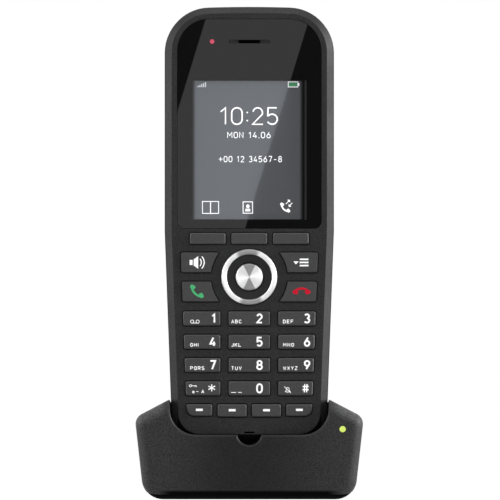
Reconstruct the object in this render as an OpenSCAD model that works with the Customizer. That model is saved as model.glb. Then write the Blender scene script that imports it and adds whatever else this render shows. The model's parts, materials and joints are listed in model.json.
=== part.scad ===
/* [Handset] */
// Radius of the top corners
top_r = 13; // [9:0.5:14]
// Radius of the bottom corners
bottom_r = 8.3; // [7:0.1:9]
// Radius of the crowned top edge
crown_r = 380; // [250:5:500]
// Angle by which each side closes in below the taper line
taper = 2.1; // [1:0.1:2.6]
// Height at which the sides begin to close in
taper_from = 60; // [56:0.2:62]
// Rounding of the edges of the back
back_r = 5.5; // [4:0.5:6]
// Wall of the handset mouldings
hs_wall = 1.6; // [1.4:0.1:1.8]
// Depth of the front moulding, from the face to the parting line
front_d = 6; // [5.8:0.1:7]
// Width of the sloped band round the face
bevel_w = 1.85; // [1.2:0.05:2.2]
// Depth of the sloped band
bevel_d = 1.4; // [1:0.1:1.6]
// Inset of the front moulding from the rear one
shell_step = 0.3; // [0.1:0.05:0.5]
// Gap at the parting line
seam = 0.1; // [0.05:0.05:0.2]

/* [Display] */
// Width of the picture area
pic_w = 31.68; // [31:0.1:32.4]
// Height of the picture area
pic_h = 39.6; // [38.8:0.1:40.4]
// Offset of the picture area to the side
pic_x = -0.5; // [-0.8:0.1:0.8]
// Band of the window beside the picture area
pic_side = 4.66; // [4.4:0.02:5]
// Band of the window below the picture area
pic_low = 2.5; // [2:0.1:3.5]
// Band of the window above the picture area
pic_head = 17.5; // [16.5:0.1:20]
// Distance from the window to the handset's sides
win_side = 3.78; // [3.6:0.02:4]
// Distance from the window to the top of the handset
win_top = 3.88; // [3.6:0.02:4.2]
// Thickness of the window
win_t = 0.9; // [0.7:0.1:1]
// Radius of the window's top corners
win_top_r = 9.1; // [6:0.1:10]
// Radius of the window's bottom corners
win_low_r = 2; // [1:0.1:3]
// Gap round the window
win_gap = 0.12; // [0.08:0.02:0.2]
// Length of the earpiece slot
ear_w = 6.3; // [5:0.1:8]
// Height of the earpiece slot
ear_h = 1; // [0.8:0.1:1.2]
// Distance of the earpiece below the window's top edge
ear_drop = 6.4; // [6:0.1:7]
// Width of the shallow scoop that leads to the earpiece slot
scoop_w = 11.6; // [9:0.2:13]
// Depth of the scoop in the middle
scoop_deep = 0.35; // [0.2:0.05:0.5]
// Diameter of the status light
status_d = 1.3; // [1:0.1:1.8]
// Distance of the status light from the middle
status_x = 10.6; // [9:0.1:12]

/* [Keys] */
// Height of a key cap above the face
key_proud = 0.5; // [0.3:0.05:0.7]
// Travel of a key
key_travel = 0.5; // [0.3:0.05:0.6]
// Gap between a key and its hole
key_gap = 0.25; // [0.15:0.05:0.3]
// Distance from the number block to the handset's side
key_margin = 4.5; // [4.3:0.1:4.8]
// Corner radius of the keys
key_r = 0.5; // [0.3:0.05:0.8]
// Sloped edge round a key top
key_chamfer = 0.3; // [0.15:0.05:0.4]
// Height of the middle of the function keys
fn_z = 8.95; // [8.5:0.05:10]
// Height of a function key
fn_h = 3.45; // [3:0.05:3.8]
// Width of a middle function key
fn_w = 8.3; // [7.8:0.1:8.6]
// Gap between the function keys
fn_split = 1.5; // [1.3:0.1:1.8]
// Height by which the middle function keys reach lower than the end ones
fn_drop = 0.2; // [0:0.05:0.4]
// Outer lower corner radius of the end function keys
fn_r = 2.2; // [1:0.1:2.5]
// Gap between the function keys and the number keys
fn_gap = 2.42; // [2:0.02:3]
// Height of a number key
dial_h = 4.1; // [3.6:0.1:4.6]
// Gap between the rows of number keys
dial_gap = 2.54; // [2:0.02:3]
// Width of a middle number key
dial_w = 11.8; // [11:0.1:12.4]
// Gap between the columns of number keys
dial_split = 2.35; // [2:0.05:3]
// Gap between the number keys and the navigation ring
ring_low = 1.89; // [1.5:0.01:3]
// Gap between the navigation ring and the soft keys
ring_high = 1.42; // [1.2:0.01:3]
// Width of a soft key
soft_w = 10.2; // [9.4:0.1:10.6]
// Height of a soft key
soft_h = 3.25; // [2.8:0.05:3.6]
// Gap between the soft keys
soft_split = 1.64; // [1.4:0.02:2]
// Gap between the soft keys and the window
soft_gap = 1.325; // [1.2:0.025:2]
// Height of a key beside the navigation ring
side_h = 5.7; // [5.2:0.1:6]
// Gap between the two rows of keys beside the ring
side_split = 2.6; // [2:0.1:3]
// Distance from the ring's side to the inner corners of the keys beside it
side_clear = 0.7; // [0.3:0.1:1]

/* [Navigation key] */
// Outer diameter of the metal ring
ring_d = 15.8; // [15:0.1:17]
// Width of the metal ring
ring_wall = 1.45; // [1.4:0.01:1.8]
// Height of the metal ring above the face
ring_proud = 0.9; // [0.6:0.05:1.1]
// Diameter of the middle key
ok_d = 7.6; // [7:0.1:8]
// Band of face between the ring and the keys beside it
ring_band = 3.1; // [2.6:0.1:3.3]
// Tilt of the navigation ring each way
nav_tilt = 3; // [1:0.5:3]

/* [Inside the handset] */
// Thickness of the keypad mat
mat_t = 0.6; // [0.4:0.1:0.7]
// Thickness of the main board
pcb_t = 1; // [0.8:0.1:1]
// Diameter of a battery cell
cell_d = 10.5; // [10:0.1:10.5]
// Length of a battery cell
cell_len = 44.5; // [43:0.5:44.5]
// Height of the lower end of the battery bay
bay_z = 35; // [34:0.5:40]
// Room between the main board and the battery bay
bay_room = 2; // [1.5:0.1:3]
// Thickness of the battery door
door_t = 1.6; // [1.4:0.1:1.8]
// Distance from the battery bay to the sides of its door
door_side = 3.7; // [3:0.1:5]
// Distance from the battery bay to the ends of its door
door_end = 4.5; // [4:0.1:6]
// Gap round the battery door
door_gap = 0.2; // [0.15:0.05:0.3]
// Diameter of the hands-free loudspeaker
spk_d = 18; // [16:0.5:18.5]

/* [Cradle] */
// Depth of the cradle from front to back
cradle_d = 60; // [58:0.5:66]
// Width of each shoulder beside the handset
shoulder_w = 9.42; // [8.4:0.02:12]
// Width of the cradle's tail
tail_w = 52; // [48:1:56]
// Height of the tail
tail_h = 12.5; // [12:0.5:14]
// Lean of the handset in the cradle, back from upright
lean = 15; // [12:1:18]
// Room between the charging board and the block that holds the pins
block_room = 0.5; // [0.2:0.05:1]
// Rounding of the cradle's edges
edge_r = 3.2; // [2.8:0.1:3.4]
// Radius of the cradle's lower front corners
corner_r = 6.1; // [4.5:0.1:7]
// Wall of the cradle
cradle_wall = 2; // [1.8:0.1:2.2]
// Front wall's outside, in front of the handset's face
front_gap = 2.8; // [2.6:0.1:3.2]
// Height of the shoulders beside the handset, above its lower end
shoulder_h = 11.9; // [11:0.1:12.5]
// Slope of the shoulders
shoulder_slope = 27.7; // [20:0.1:32]
// Height of the front lip, above the handset's lower end
lip_h = 2; // [1.5:0.1:2.4]
// Radius of the front opening's lower corners
open_r = 7.4; // [6:0.1:8]
// Radius of the thumb notch in the lip
notch_r = 3.45; // [3:0.05:4]
// Height of the middle of the thumb notch above the lip
notch_up = 0.55; // [0.2:0.05:1]
// Reach of the thumb notch under the handset, behind its face
notch_deep = 5; // [3:0.5:6]
// Gap between the handset and its pocket
pocket_gap = 0.5; // [0.4:0.05:0.6]
// Gap under the seated handset
seat_gap = 0.2; // [0.1:0.05:0.3]
// Width of the softened edge round the front opening
rim_w = 0.4; // [0.3:0.05:0.7]
// Height of the back rest, above the handset's lower end
rest_h = 24; // [20:0.5:28]
// Height of the seam between the shell and the bottom plate, above the shell's underside
plate_h = 2.4; // [2.2:0.1:2.6]
// Height of the rubber feet below the plate
foot_h = 0.8; // [0.6:0.1:1.2]
// Diameter of a foot
foot_d = 9; // [7:0.5:10]
// Diameter of the charge light
led_d = 1.75; // [1.5:0.05:2.4]
// Distance of the charge light from the cradle's side
led_side = 5.9; // [5.4:0.1:7]

/* [Charging] */
// Distance from the middle to a charge contact
pin_x = 6; // [5:0.5:7]
// Distance of the charge contacts behind the face
pin_y = 11; // [10:0.5:12]
// Diameter of a charge pin
pin_d = 1.8; // [1.4:0.1:2]
// Travel of a charge pin
pin_travel = 1.2; // [0.8:0.1:1.4]
// Running clearance round a charge pin
pin_gap = 0.05; // [0.03:0.01:0.08]
// Width of the recess for the power plug
plug_w = 11.5; // [11.2:0.1:12.5]
// Height of the recess for the power plug
plug_h = 6.2; // [6:0.1:6.6]
// Depth of the recess for the power plug
plug_deep = 5; // [4.8:0.1:5.6]

/* [Hidden] */
$fn = 48;
hull_fn = 28;
disc_fn = 40;
round_steps = 5;
thin = 0.01;
cut = 1;

// ---- rows of the face, counted up from the handset's lower end ----
dial_pitch = dial_h + dial_gap;
dial_z = fn_z + (fn_h + dial_h) / 2 + fn_gap;
nav_z = dial_z + 3 * dial_pitch + dial_h / 2 + ring_low + ring_d / 2;
soft_z = nav_z + ring_d / 2 + ring_high + soft_h / 2;
win_z = soft_z + soft_h / 2 + soft_gap;
pic_z = win_z + pic_low + pic_h / 2;
win_h = pic_low + pic_h + pic_head;
hs_len = win_z + win_h + win_top;
ear_z = win_z + win_h - ear_drop;

// ---- columns of the face ----
win_w = pic_w + 2 * pic_side;
hs_w = win_w + 2 * win_side;
dial_side = dial_w / 2 + dial_split;
soft_pitch = soft_w + soft_split;
side_pitch = side_h + side_split;
side_in = ring_d / 2 + side_clear;

// ---- handset: depths, from the face to the back ----
face_inset = bevel_w + shell_step;
flange_t = 0.6;
flange_w = 0.5;
flange_y = hs_wall + 0.1;
mat_y = flange_y + flange_t + key_travel + 0.1;
pcb_y = mat_y + mat_t;
bay_wall = 1.1;
bay_gap = 0.4;
bay_y = pcb_y + pcb_t + bay_room + bay_wall;
cell_y = bay_y + bay_gap + cell_d / 2;
hs_d = cell_y + cell_d / 2 + bay_gap + door_t;

// ---- handset: derived sizes ----
top_x = hs_w / 2 - top_r;
crown_z = hs_len - crown_r;
top_z = crown_z + sqrt(pow(crown_r - top_r, 2) - top_x * top_x);
crown_a = asin(top_x / (crown_r - top_r));
low_x = half_w(bottom_r) - bottom_r / cos(taper);
pcb_top = hs_len - 15;
pcb_low = 6;
lcd_w = pic_w + 3.6;
lcd_h = pic_h + 5;
lcd_z = pic_z + 0.5;
lcd_y = hs_wall + 0.1;
lcd_back = 0.5;
scoop_r = (pow(scoop_w / 2, 2) + pow(scoop_deep, 2)) / (2 * scoop_deep);
lcd_rim = 0.8;
post_r = 2.2;
post_x = hs_w / 2 - 9.1;
post_z = hs_len - 12;
screw_r = 0.95;
head_r = 1.8;
well_r = head_r + 0.2;
bay_w = 2 * cell_d + 4 * bay_gap;
bay_len = cell_len + 3.6;
cell_x = cell_d / 2 + bay_gap;
door_w = bay_w + 2 * door_side;
door_z = bay_z - door_end;
door_len = bay_len + 2 * door_end;
spk_t = 4.2;
spk_z = hs_len - 17.5;
peg_r = 0.6;
pad_up = 0.15;
mic_z = 2.6;
mic_up = 0.8;
mic_w = 3;
mic_h = 0.5;
mic_r = 1.4;
mic_t = 1.6;
rec_w = 15;
rec_h = 6;
rec_t = 3.2;
pad_w = 4;
pad_d = 3;
pad_t = 0.4;
tongue_w = 6;
tongue_up = 3;
shield_w = 20;
shield_h = 16;
shield_t = 1.8;

// ---- cradle: derived sizes ----
foot_sink = 0.6;
seam_z = foot_h + plate_h;
pcb2_z = seam_z + 0.9;
pcb2_t = 1.2;
pcb2_front = 13.5;
tub_wall = 1.8;
block_top = -seat_gap - tub_wall;
block_len = 5.6;
block_w = 4;
block_drop = (pin_y + block_w) * sin(lean) + (block_len - block_top) * cos(lean);
hs_rise = pcb2_z + pcb2_t + block_room + block_drop;
front_y = edge_r - front_gap;
low_z = (foot_h + edge_r - hs_rise + front_y * sin(lean)) / cos(lean);
hs_y = -cradle_d / 2 + edge_r - front_y * cos(lean) - low_z * sin(lean);
tip_x = half_w(shoulder_h) + pocket_gap;
cradle_w = 2 * (tip_x + shoulder_w);
ridge_x = tip_x - 5;
ridge_z = shoulder_h + (tip_x - ridge_x) * tan(shoulder_slope) - edge_r / cos(shoulder_slope);
outer_x = cradle_w / 2 - edge_r;
outer_z = ridge_z - (outer_x - ridge_x) * tan(shoulder_slope);
side_lean = 6.4;
corner_x = cradle_w / 2 - (outer_z - low_z - corner_r + edge_r) * tan(side_lean) - corner_r;
tail_r = 9.2;
pocket_back = hs_d + pocket_gap;
pocket_front = pocket_gap - 0.1;
rear_y = pocket_back + 1.6;
rear_drop = 1.5;
open_x = tip_x - pocket_gap;
notch_z = lip_h + notch_up;
led_x = cradle_w / 2 - led_side;
led_z = lip_h + 1.7;
boss_r = 2.8;
boss_room = 2.14;
base_head_r = 1.9;
base_head_t = 1.2;
socket_w = 7.5;
socket_h = 2.8;
socket_d = 5.6;
plug_z = pcb2_z + pcb2_t + socket_h / 2;
collar_r = pin_d / 2 + 0.7;
collar_t = 0.6;
collar_z = block_top - collar_t - 0.1;
pin_tip = pad_up - 0.02;
spring_wire = 0.22;

// Places of the feet and of the cradle's screws, on the right-hand side.
foot_spots = [
    [cradle_w / 2 - 11.3, -cradle_d / 2 + 9.5],
    [tail_w / 2 - 9.5, cradle_d / 2 - 8.5]
];
boss_spots = [
    [foot_spots[0].x - foot_d / 2 - boss_room, foot_spots[0].y + 3],
    [tail_w / 2 - 5.2, cradle_d / 2 - 18]
];
pcb2_w = 2 * (boss_spots[1].x - boss_r - 2);

// ---- handset outline ----
function half_w(z) = hs_w / 2 - max(0, taper_from - z) * tan(taper);

function arc(c, r, a0, a1, n) = [
    for (k = [0:n])
        let (a = a0 + (a1 - a0) * k / n)
            c + r * [cos(a), sin(a)]
];

function mirrored(pts) = [for (k = [len(pts) - 1:-1:0]) [-pts[k].x, pts[k].y]];

// Straight stretches and crown of the handset's outline, inset by t; the corner circles complete it.
function core_half(t) = concat(
    [[low_x, t], [low_x + (bottom_r - t) * cos(taper), bottom_r - (bottom_r - t) * sin(taper)]],
    [[hs_w / 2 - t, taper_from + t * tan(taper / 2)], [hs_w / 2 - t, top_z]],
    arc([0, crown_z], crown_r - t, 90 - crown_a, 90, 5));

function core(t) = let (h = core_half(t)) concat(h, mirrored([for (k = [0:len(h) - 2]) h[k]]));

module outline(t = 0) {
    polygon(core(t));
    for (s = [-1, 1]) {
        translate([s * top_x, top_z]) circle(r = top_r - t);
        translate([s * low_x, bottom_r]) circle(r = bottom_r - t);
    }
}

// Lays a drawing in the handset's face plane and gives it the depth from y0 to y1.
module depth(y0, y1) {
    translate([0, y1, 0]) rotate([90, 0, 0]) linear_extrude(y1 - y0) children();
}

// Slab whose outline is inset by t0 at y0 and by t1 at y1.
module sloped_slab(y0, y1, t0, t1) {
    n = len(core(0));
    rims = [for (level = [[y0, t0], [y1, t1]], p = core(level[1])) [p.x, level[0], p.y]];
    hull()
        polyhedron(rims, [
            for (k = [1:n - 2]) [0, k, k + 1],
            for (k = [0:n - 1]) [k, n + k, n + (k + 1) % n]
        ]);
    for (s = [-1, 1]) {
        translate([s * top_x, y1, top_z]) rotate([90, 0, 0])
            cylinder(h = y1 - y0, r1 = top_r - t1, r2 = top_r - t0);
        translate([s * low_x, y1, bottom_r]) rotate([90, 0, 0])
            cylinder(h = y1 - y0, r1 = bottom_r - t1, r2 = bottom_r - t0);
    }
}

module in_handset() {
    translate([0, hs_y, hs_rise]) rotate([-lean, 0, 0]) children();
}

// ---- rounded outlines ----
function unit(v) = v / norm(v);

function corner_arc(a, b, c, r, n) = let (
    u = unit(a - b), w = unit(c - b), half = acos(u * w) / 2,
    mid = b + unit(u + w) * r / sin(half),
    p = b + u * r / tan(half) - mid, q = b + w * r / tan(half) - mid,
    a0 = atan2(p.y, p.x), turn = (atan2(q.y, q.x) - a0 + 540) % 360 - 180
) arc(mid, r, a0, a0 + turn, n);

function rounded(pts, radii, n = 4) = let (m = len(pts)) [
    for (i = [0:m - 1])
        each corner_arc(pts[(i + m - 1) % m], pts[i], pts[(i + 1) % m], radii[i], n)
];

function box_pts(w, h, z) = [
    for (p = [[-1, -1], [1, -1], [1, 1], [-1, 1]])
        [p.x * w / 2, z + p.y * h / 2]
];

module window_shape(g = 0) {
    polygon(rounded(box_pts(win_w + 2 * g, win_h + 2 * g, win_z + win_h / 2),
        [win_low_r + g, win_low_r + g, win_top_r + g, win_top_r + g], 12));
}

// ---- key outlines: g grows the outline for the hole or the flange ----
function side_quad(s, x_in, z, h, g) = [for (p = [
    [x_in - g, z - h / 2 - g], [half_w(z - h / 2) - key_margin + g, z - h / 2 - g],
    [half_w(z + h / 2) - key_margin + g, z + h / 2 + g], [x_in - g, z + h / 2 + g]
]) [s * p.x, p.y]];

module number_shape(col, row, g) {
    z = dial_z + row * dial_pitch;
    r = key_r + max(g, 0);
    if (col == 0)
        polygon(rounded(box_pts(dial_w + 2 * g, dial_h + 2 * g, z), [r, r, r, r]));
    else
        polygon(rounded(side_quad(col, dial_side, z, dial_h, g), [r, r, r, r]));
}

module fn_shape(n, g) {
    s = n < 3 ? -1 : 1;
    r = key_r + max(g, 0);
    if (n == 1 || n == 4)
        polygon(rounded(side_quad(s, 1.5 * fn_split + fn_w, fn_z, fn_h, g),
            [r, fn_r + max(g, 0), r, r]));
    else
        translate([s * (fn_split + fn_w) / 2, 0])
            polygon(rounded(box_pts(fn_w + 2 * g, fn_h + fn_drop + 2 * g, fn_z - fn_drop / 2), [r, r, r, r]));
}

module soft_shape(col, g) {
    r = key_r + max(g, 0);
    translate([col * soft_pitch, 0])
        polygon(rounded(box_pts(soft_w + 2 * g, soft_h + 2 * g, soft_z), [r, r, r, r]));
}

// Keys beside the ring, each with a hollow arc towards it.
module side_shape(s, row, g) {
    z = nav_z + row * side_pitch / 2;
    r = key_r + max(g, 0);
    difference() {
        polygon(rounded(side_quad(s, side_in, z, side_h, g), [r, r, r, r]));
        translate([0, nav_z]) circle(r = ring_d / 2 + ring_band - g);
    }
}

// Key cap with a sloped edge, and a flange that keeps it under the face.
module key_body(slope) {
    in_handset() {
        hull() {
            depth(-key_proud, -key_proud + thin) children(1);
            depth(-key_proud + slope, -key_proud + slope + thin) children(0);
        }
        depth(-key_proud + slope, flange_y + flange_t) children(0);
        depth(flange_y, flange_y + flange_t) children(2);
    }
}

module number_key(col, row) {
    color("dimgray") key_body(key_chamfer) {
        number_shape(col, row, 0);
        number_shape(col, row, -key_chamfer);
        number_shape(col, row, flange_w);
    }
}

module fn_key(n) {
    color("dimgray") key_body(key_chamfer) {
        fn_shape(n, 0);
        fn_shape(n, -key_chamfer);
        fn_shape(n, flange_w);
    }
}

module soft_key(col) {
    color("dimgray") key_body(key_chamfer) {
        soft_shape(col, 0);
        soft_shape(col, -key_chamfer);
        soft_shape(col, flange_w);
    }
}

// The hollow side of these keys rules out a hull, so their edge is a small step.
module side_key(s, row) {
    color("dimgray") in_handset() {
        depth(-key_proud, 0) side_shape(s, row, -key_chamfer / 2);
        depth(-key_proud + key_chamfer / 2, flange_y + flange_t) side_shape(s, row, 0);
        depth(flange_y, flange_y + flange_t) side_shape(s, row, flange_w);
    }
}

// ---- navigation key ----
ring_in_d = ring_d - 2 * ring_wall;
ring_deep = 0.9;
hub_d = ok_d + 2 * key_gap;
nav_low = hs_wall + 0.6;
carrier_d = hub_d + 3.2;

module on_nav(y) {
    in_handset() translate([0, y, nav_z]) rotate([90, 0, 0]) children();
}

// Metal ring with a rounded rim, revolved about the press direction.
module nav_ring() {
    color("silver") on_nav(0) rotate_extrude() {
        translate([ring_in_d / 2, -ring_deep]) square([ring_wall, ring_deep + ring_proud - ring_wall / 3]);
        translate([ring_in_d / 2 + ring_wall / 3, 0]) square([ring_wall / 3, ring_proud]);
        for (r = [ring_in_d / 2 + ring_wall / 3, ring_d / 2 - ring_wall / 3])
            translate([r, ring_proud - ring_wall / 3]) circle(r = ring_wall / 3);
    }
}

// Rocker under the ring: a shallow dish round the middle key, open at its hub.
module nav_rocker() {
    color("dimgray") on_nav(0) rotate_extrude() difference() {
        polygon([
            [hub_d / 2, -nav_low], [ring_d / 2, -nav_low], [ring_d / 2, -ring_deep],
            [ring_in_d / 2, -ring_deep], [ring_in_d / 2, ring_proud - 0.5],
            [hub_d / 2 + 0.3, 0.1], [hub_d / 2, -0.1]
        ]);
        translate([0, -nav_low - cut]) square([carrier_d / 2 + 0.2, cut + 0.65]);
    }
}

// Tilting collar on which the rocker turns.
module nav_carrier() {
    color("darkslategray") on_nav(nav_low + 0.25) rotate_extrude()
        translate([hub_d / 2 + 0.1, 0]) square([1.5, 0.55]);
}

// Middle key with a shallow cone on top.
module nav_ok() {
    color("silver") on_nav(0) {
        translate([0, 0, -nav_low]) cylinder(h = nav_low + 0.35, r = ok_d / 2);
        translate([0, 0, 0.35]) cylinder(h = 0.35, r1 = ok_d / 2, r2 = ok_d / 2 - 0.3);
    }
}

module softkey_left() { soft_key(-1); }
module softkey_middle() { soft_key(0); }
module softkey_right() { soft_key(1); }
module key_speaker() { side_key(-1, 1); }
module key_menu() { side_key(1, 1); }
module key_call() { side_key(-1, -1); }
module key_end() { side_key(1, -1); }
module key_1() { number_key(-1, 3); }
module key_2() { number_key(0, 3); }
module key_3() { number_key(1, 3); }
module key_4() { number_key(-1, 2); }
module key_5() { number_key(0, 2); }
module key_6() { number_key(1, 2); }
module key_7() { number_key(-1, 1); }
module key_8() { number_key(0, 1); }
module key_9() { number_key(1, 1); }
module key_star() { number_key(-1, 0); }
module key_0() { number_key(0, 0); }
module key_hash() { number_key(1, 0); }
module fkey_1() { fn_key(1); }
module fkey_2() { fn_key(2); }
module fkey_3() { fn_key(3); }
module fkey_4() { fn_key(4); }

module key_holes() {
    for (col = [-1:1]) {
        soft_shape(col, key_gap);
        for (row = [0:3]) number_shape(col, row, key_gap);
    }
    for (n = [1:4]) fn_shape(n, key_gap);
    for (s = [-1, 1], row = [-1, 1]) side_shape(s, row, key_gap);
    translate([0, nav_z]) circle(r = ring_d / 2 + key_gap);
}

// ---- handset mouldings ----
module screw_places() {
    for (s = [-1, 1]) translate([s * post_x, 0, post_z]) children();
}

// Pegs that place the main board: one pair between two number rows, two beside the display.
module pegs() {
    low = dial_z + 1.5 * dial_pitch;
    for (s = [-1, 1]) {
        translate([s * (half_w(low) - 3.5), 0, low]) children();
        for (z = [pic_z - 14, pic_z + 16])
            translate([s * (lcd_w / 2 + lcd_rim - pic_x + 2 * peg_r), 0, z]) children();
    }
}

module rod(y0, y1, r) {
    translate([0, y1, 0]) rotate([90, 0, 0]) cylinder(h = y1 - y0, r = r);
}

module ear_slot(g) {
    translate([0, ear_z]) {
        square([ear_w - ear_h + 2 * g, ear_h + 2 * g], center = true);
        for (s = [-1, 1]) translate([s * (ear_w - ear_h) / 2 + s * g, 0]) circle(r = ear_h / 2 + g);
    }
}

module handset_front_shell() {
    color("dimgray") in_handset() difference() {
        union() {
            difference() {
                union() {
                    sloped_slab(0, bevel_d, face_inset, shell_step);
                    depth(bevel_d, front_d - seam) outline(shell_step);
                }
                depth(hs_wall, front_d + cut) outline(shell_step + hs_wall);
            }
            screw_places() rod(hs_wall - 0.2, front_d - seam, post_r);
            pegs() rod(hs_wall - 0.2, pcb_y + pcb_t + 0.4, peg_r);
        }
        depth(-cut, win_t) window_shape(win_gap);
        depth(-cut, hs_wall + cut) translate([pic_x, pic_z])
            square([pic_w + 1.6, pic_h + 1.6], center = true);
        depth(-cut, hs_wall + cut) ear_slot(0.35);
        translate([-status_x, 0, ear_z]) rod(-cut, hs_wall + cut, status_d / 2 + 0.1);
        depth(-cut, hs_wall + cut) key_holes();
        depth(-cut, hs_wall + cut) translate([0, mic_z]) square([mic_w, mic_h], center = true);
        screw_places() rod(hs_wall, front_d + cut, screw_r + 0.03);
    }
}

// Rounded outer form of the rear moulding, inset by t all over.
module back_form(t) {
    inner = back_r - t;
    hull() for (s = [-1, 1]) {
        translate([s * top_x, 0, top_z]) back_corner(top_r - t, inner, t);
        translate([s * (hs_w / 2 - bottom_r), 0, taper_from]) back_corner(bottom_r - t, inner, t);
        translate([s * low_x, 0, bottom_r]) back_corner(bottom_r - t, inner, t);
        translate([0, 0, hs_len - top_r]) back_corner(top_r - t, inner, t);
    }
}

module back_corner(r, edge, t) {
    rotate([-90, 0, 0]) {
        translate([0, 0, front_d - cut])
            cylinder(h = hs_d - t - edge - front_d + cut, r = r, $fn = 2 * hull_fn);
        for (k = [1:round_steps]) {
            a = 90 * k / round_steps;
            translate([0, 0, hs_d - t - edge * (1 - sin(a)) - thin])
                cylinder(h = thin, r = r - edge * (1 - cos(a)), $fn = 2 * hull_fn);
        }
    }
}

module door_shape(g) {
    translate([0, door_z]) polygon(rounded([
        [-door_w / 2 - g, door_t / 2], [door_w / 2 + g, door_t / 2],
        [door_w / 2 + g, door_len + g], [-door_w / 2 - g, door_len + g]
    ], [0.01, 0.01, 3 + g, 3 + g]));
}

// Nose of the door, round about its hinge line.
module door_nose(r, w) {
    translate([-w / 2, hs_d - door_t / 2, door_z + door_t / 2]) rotate([0, 90, 0]) cylinder(h = w, r = r);
}

module battery_door() {
    color("dimgray") in_handset() difference() {
        union() {
            depth(hs_d - door_t, hs_d) door_shape(0);
            door_nose(door_t / 2, door_w);
            // Snap tongue behind the top edge.
            translate([-tongue_w / 2, hs_d - door_t - 0.8, door_z + door_len - tongue_up])
                cube([tongue_w, 1, 1.2]);
        }
        // Shallow arrow of grip ribs for the thumb.
        for (k = [0:3])
            translate([-5, hs_d - 0.3, door_z + door_len - 8 - 1.6 * k]) cube([10, cut, 0.8]);
    }
}

module bay_box(g) {
    translate([-bay_w / 2 - g, bay_y - g, bay_z - g]) cube([bay_w + 2 * g, hs_d, bay_len + 2 * g]);
}

module contact_holes(g) {
    for (s = [-1, 1])
        translate([s * pin_x, pin_y, 0]) cube([pad_w + 2 * g, pad_d + 2 * g, 8], center = true);
}

module spk_slots() {
    for (k = [-3:3]) translate([0, spk_z + 1.9 * k]) {
        w = 2 * sqrt(pow(spk_d / 2 - 2.2, 2) - pow(1.9 * k, 2));
        square([w, 0.8], center = true);
        for (s = [-1, 1]) translate([s * w / 2, 0]) circle(r = 0.4);
    }
}

module handset_rear_shell() {
    color("dimgray") in_handset() difference() {
        union() {
            difference() {
                back_form(0);
                back_form(hs_wall);
                translate([-hs_w, front_d - hs_d, -cut]) cube([2 * hs_w, hs_d, hs_len + 2 * cut]);
            }
            intersection() {
                bay_box(bay_wall);
                translate([-hs_w / 2, 0, 0]) cube([hs_w, hs_d - door_t, hs_len]);
            }
            // Ledge on which the door lies.
            depth(hs_d - door_t - 1.2, hs_d - door_t) door_shape(1.4);
            screw_places() rod(front_d, hs_d - hs_wall, well_r + 1);
            // Ring that holds the loudspeaker.
            translate([0, 0, spk_z]) difference() {
                rod(hs_d - hs_wall - spk_t, hs_d - hs_wall + 0.2, spk_d / 2 + 1.2);
                rod(hs_d - hs_wall - spk_t - cut, hs_d + cut, spk_d / 2 + 0.1);
            }
        }
        bay_box(0);
        depth(hs_d - door_t - 0.05, hs_d + cut) door_shape(door_gap);
        door_nose(door_t / 2 + door_gap, door_w + 2 * door_gap);
        // Slot below the nose, for the door's outside once it is open.
        translate([-door_w / 2 - door_gap, hs_d - door_t / 2, door_z - door_gap])
            cube([door_w + 2 * door_gap, door_t, door_t / 2 + door_gap]);
        translate([-tongue_w / 2 - 0.5, hs_d - door_t - 1.3, door_z + door_len - tongue_up - 0.5])
            cube([tongue_w + 1, 2, 2.2]);
        // Fingernail notch above the door.
        translate([0, hs_d + 1.6, door_z + door_len + 0.8]) rotate([0, 90, 0])
            translate([0, 0, -4]) cylinder(h = 8, r = 2.6);
        screw_places() {
            rod(front_d - cut, hs_d, screw_r + 0.15);
            rod(hs_d - 5, hs_d + cut, well_r);
        }
        depth(hs_d - spk_t, hs_d + cut) spk_slots();
        contact_holes(0.05);
    }
}

module display_window() {
    color([0.03, 0.03, 0.035]) in_handset() difference() {
        depth(0, win_t) window_shape();
        depth(-cut, win_t + cut) ear_slot(0);
        // Scoop that leads to the earpiece slot, shallower towards its ends.
        translate([0, scoop_deep - scoop_r, ear_z]) cylinder(h = ear_h, r = scoop_r, center = true);
        translate([-status_x, 0, ear_z]) rod(-cut, win_t + cut, status_d / 2 + 0.05);
    }
}

module lcd_panel() {
    color("slategray") in_handset()
        depth(lcd_y, pcb_y - lcd_back) translate([pic_x, lcd_z]) square([lcd_w, lcd_h], center = true);
}

module lcd_frame() {
    color("white") in_handset() translate([pic_x, 0, lcd_z]) difference() {
        depth(lcd_y, pcb_y) square([lcd_w + 2 * lcd_rim, lcd_h + 2 * lcd_rim], center = true);
        depth(lcd_y - cut, pcb_y - lcd_back) square([lcd_w + 0.1, lcd_h + 0.1], center = true);
        depth(lcd_y, pcb_y + cut) square([lcd_w - 8, lcd_h - 8], center = true);
    }
}

module earpiece_grille() {
    color("black") in_handset() difference() {
        depth(win_t, win_t + 0.4) ear_slot(0.3);
        for (k = [-4:4]) translate([k * 0.62, 0, ear_z]) rod(0, hs_wall, 0.2);
    }
}

module earpiece_receiver() {
    color("dimgray") in_handset() {
        depth(hs_wall, hs_wall + rec_t) translate([0, ear_z]) square([rec_w, rec_h], center = true);
        depth(win_t + 0.4, hs_wall + 0.1) ear_slot(0.2);
    }
}

module status_led_lens() {
    color("crimson") in_handset() translate([-status_x, 0, ear_z]) {
        rod(0, hs_wall + 0.8, status_d / 2);
        rod(hs_wall, hs_wall + 0.8, status_d / 2 + 0.6);
    }
}

module keypad_mat() {
    w = low_x + 4.6;
    top = soft_z + soft_h / 2;
    color("darkgray") in_handset()
        depth(mat_y, pcb_y) translate([-w, pcb_low + 0.4]) square([2 * w, top - pcb_low - 0.4]);
}

module main_pcb() {
    color("darkgreen") in_handset() difference() {
        depth(pcb_y, pcb_y + pcb_t) intersection() {
            outline(shell_step + hs_wall + 0.5);
            translate([-hs_w / 2, pcb_low]) square([hs_w, pcb_top - pcb_low]);
        }
        pegs() rod(0, hs_d, peg_r + 0.1);
    }
}

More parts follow.
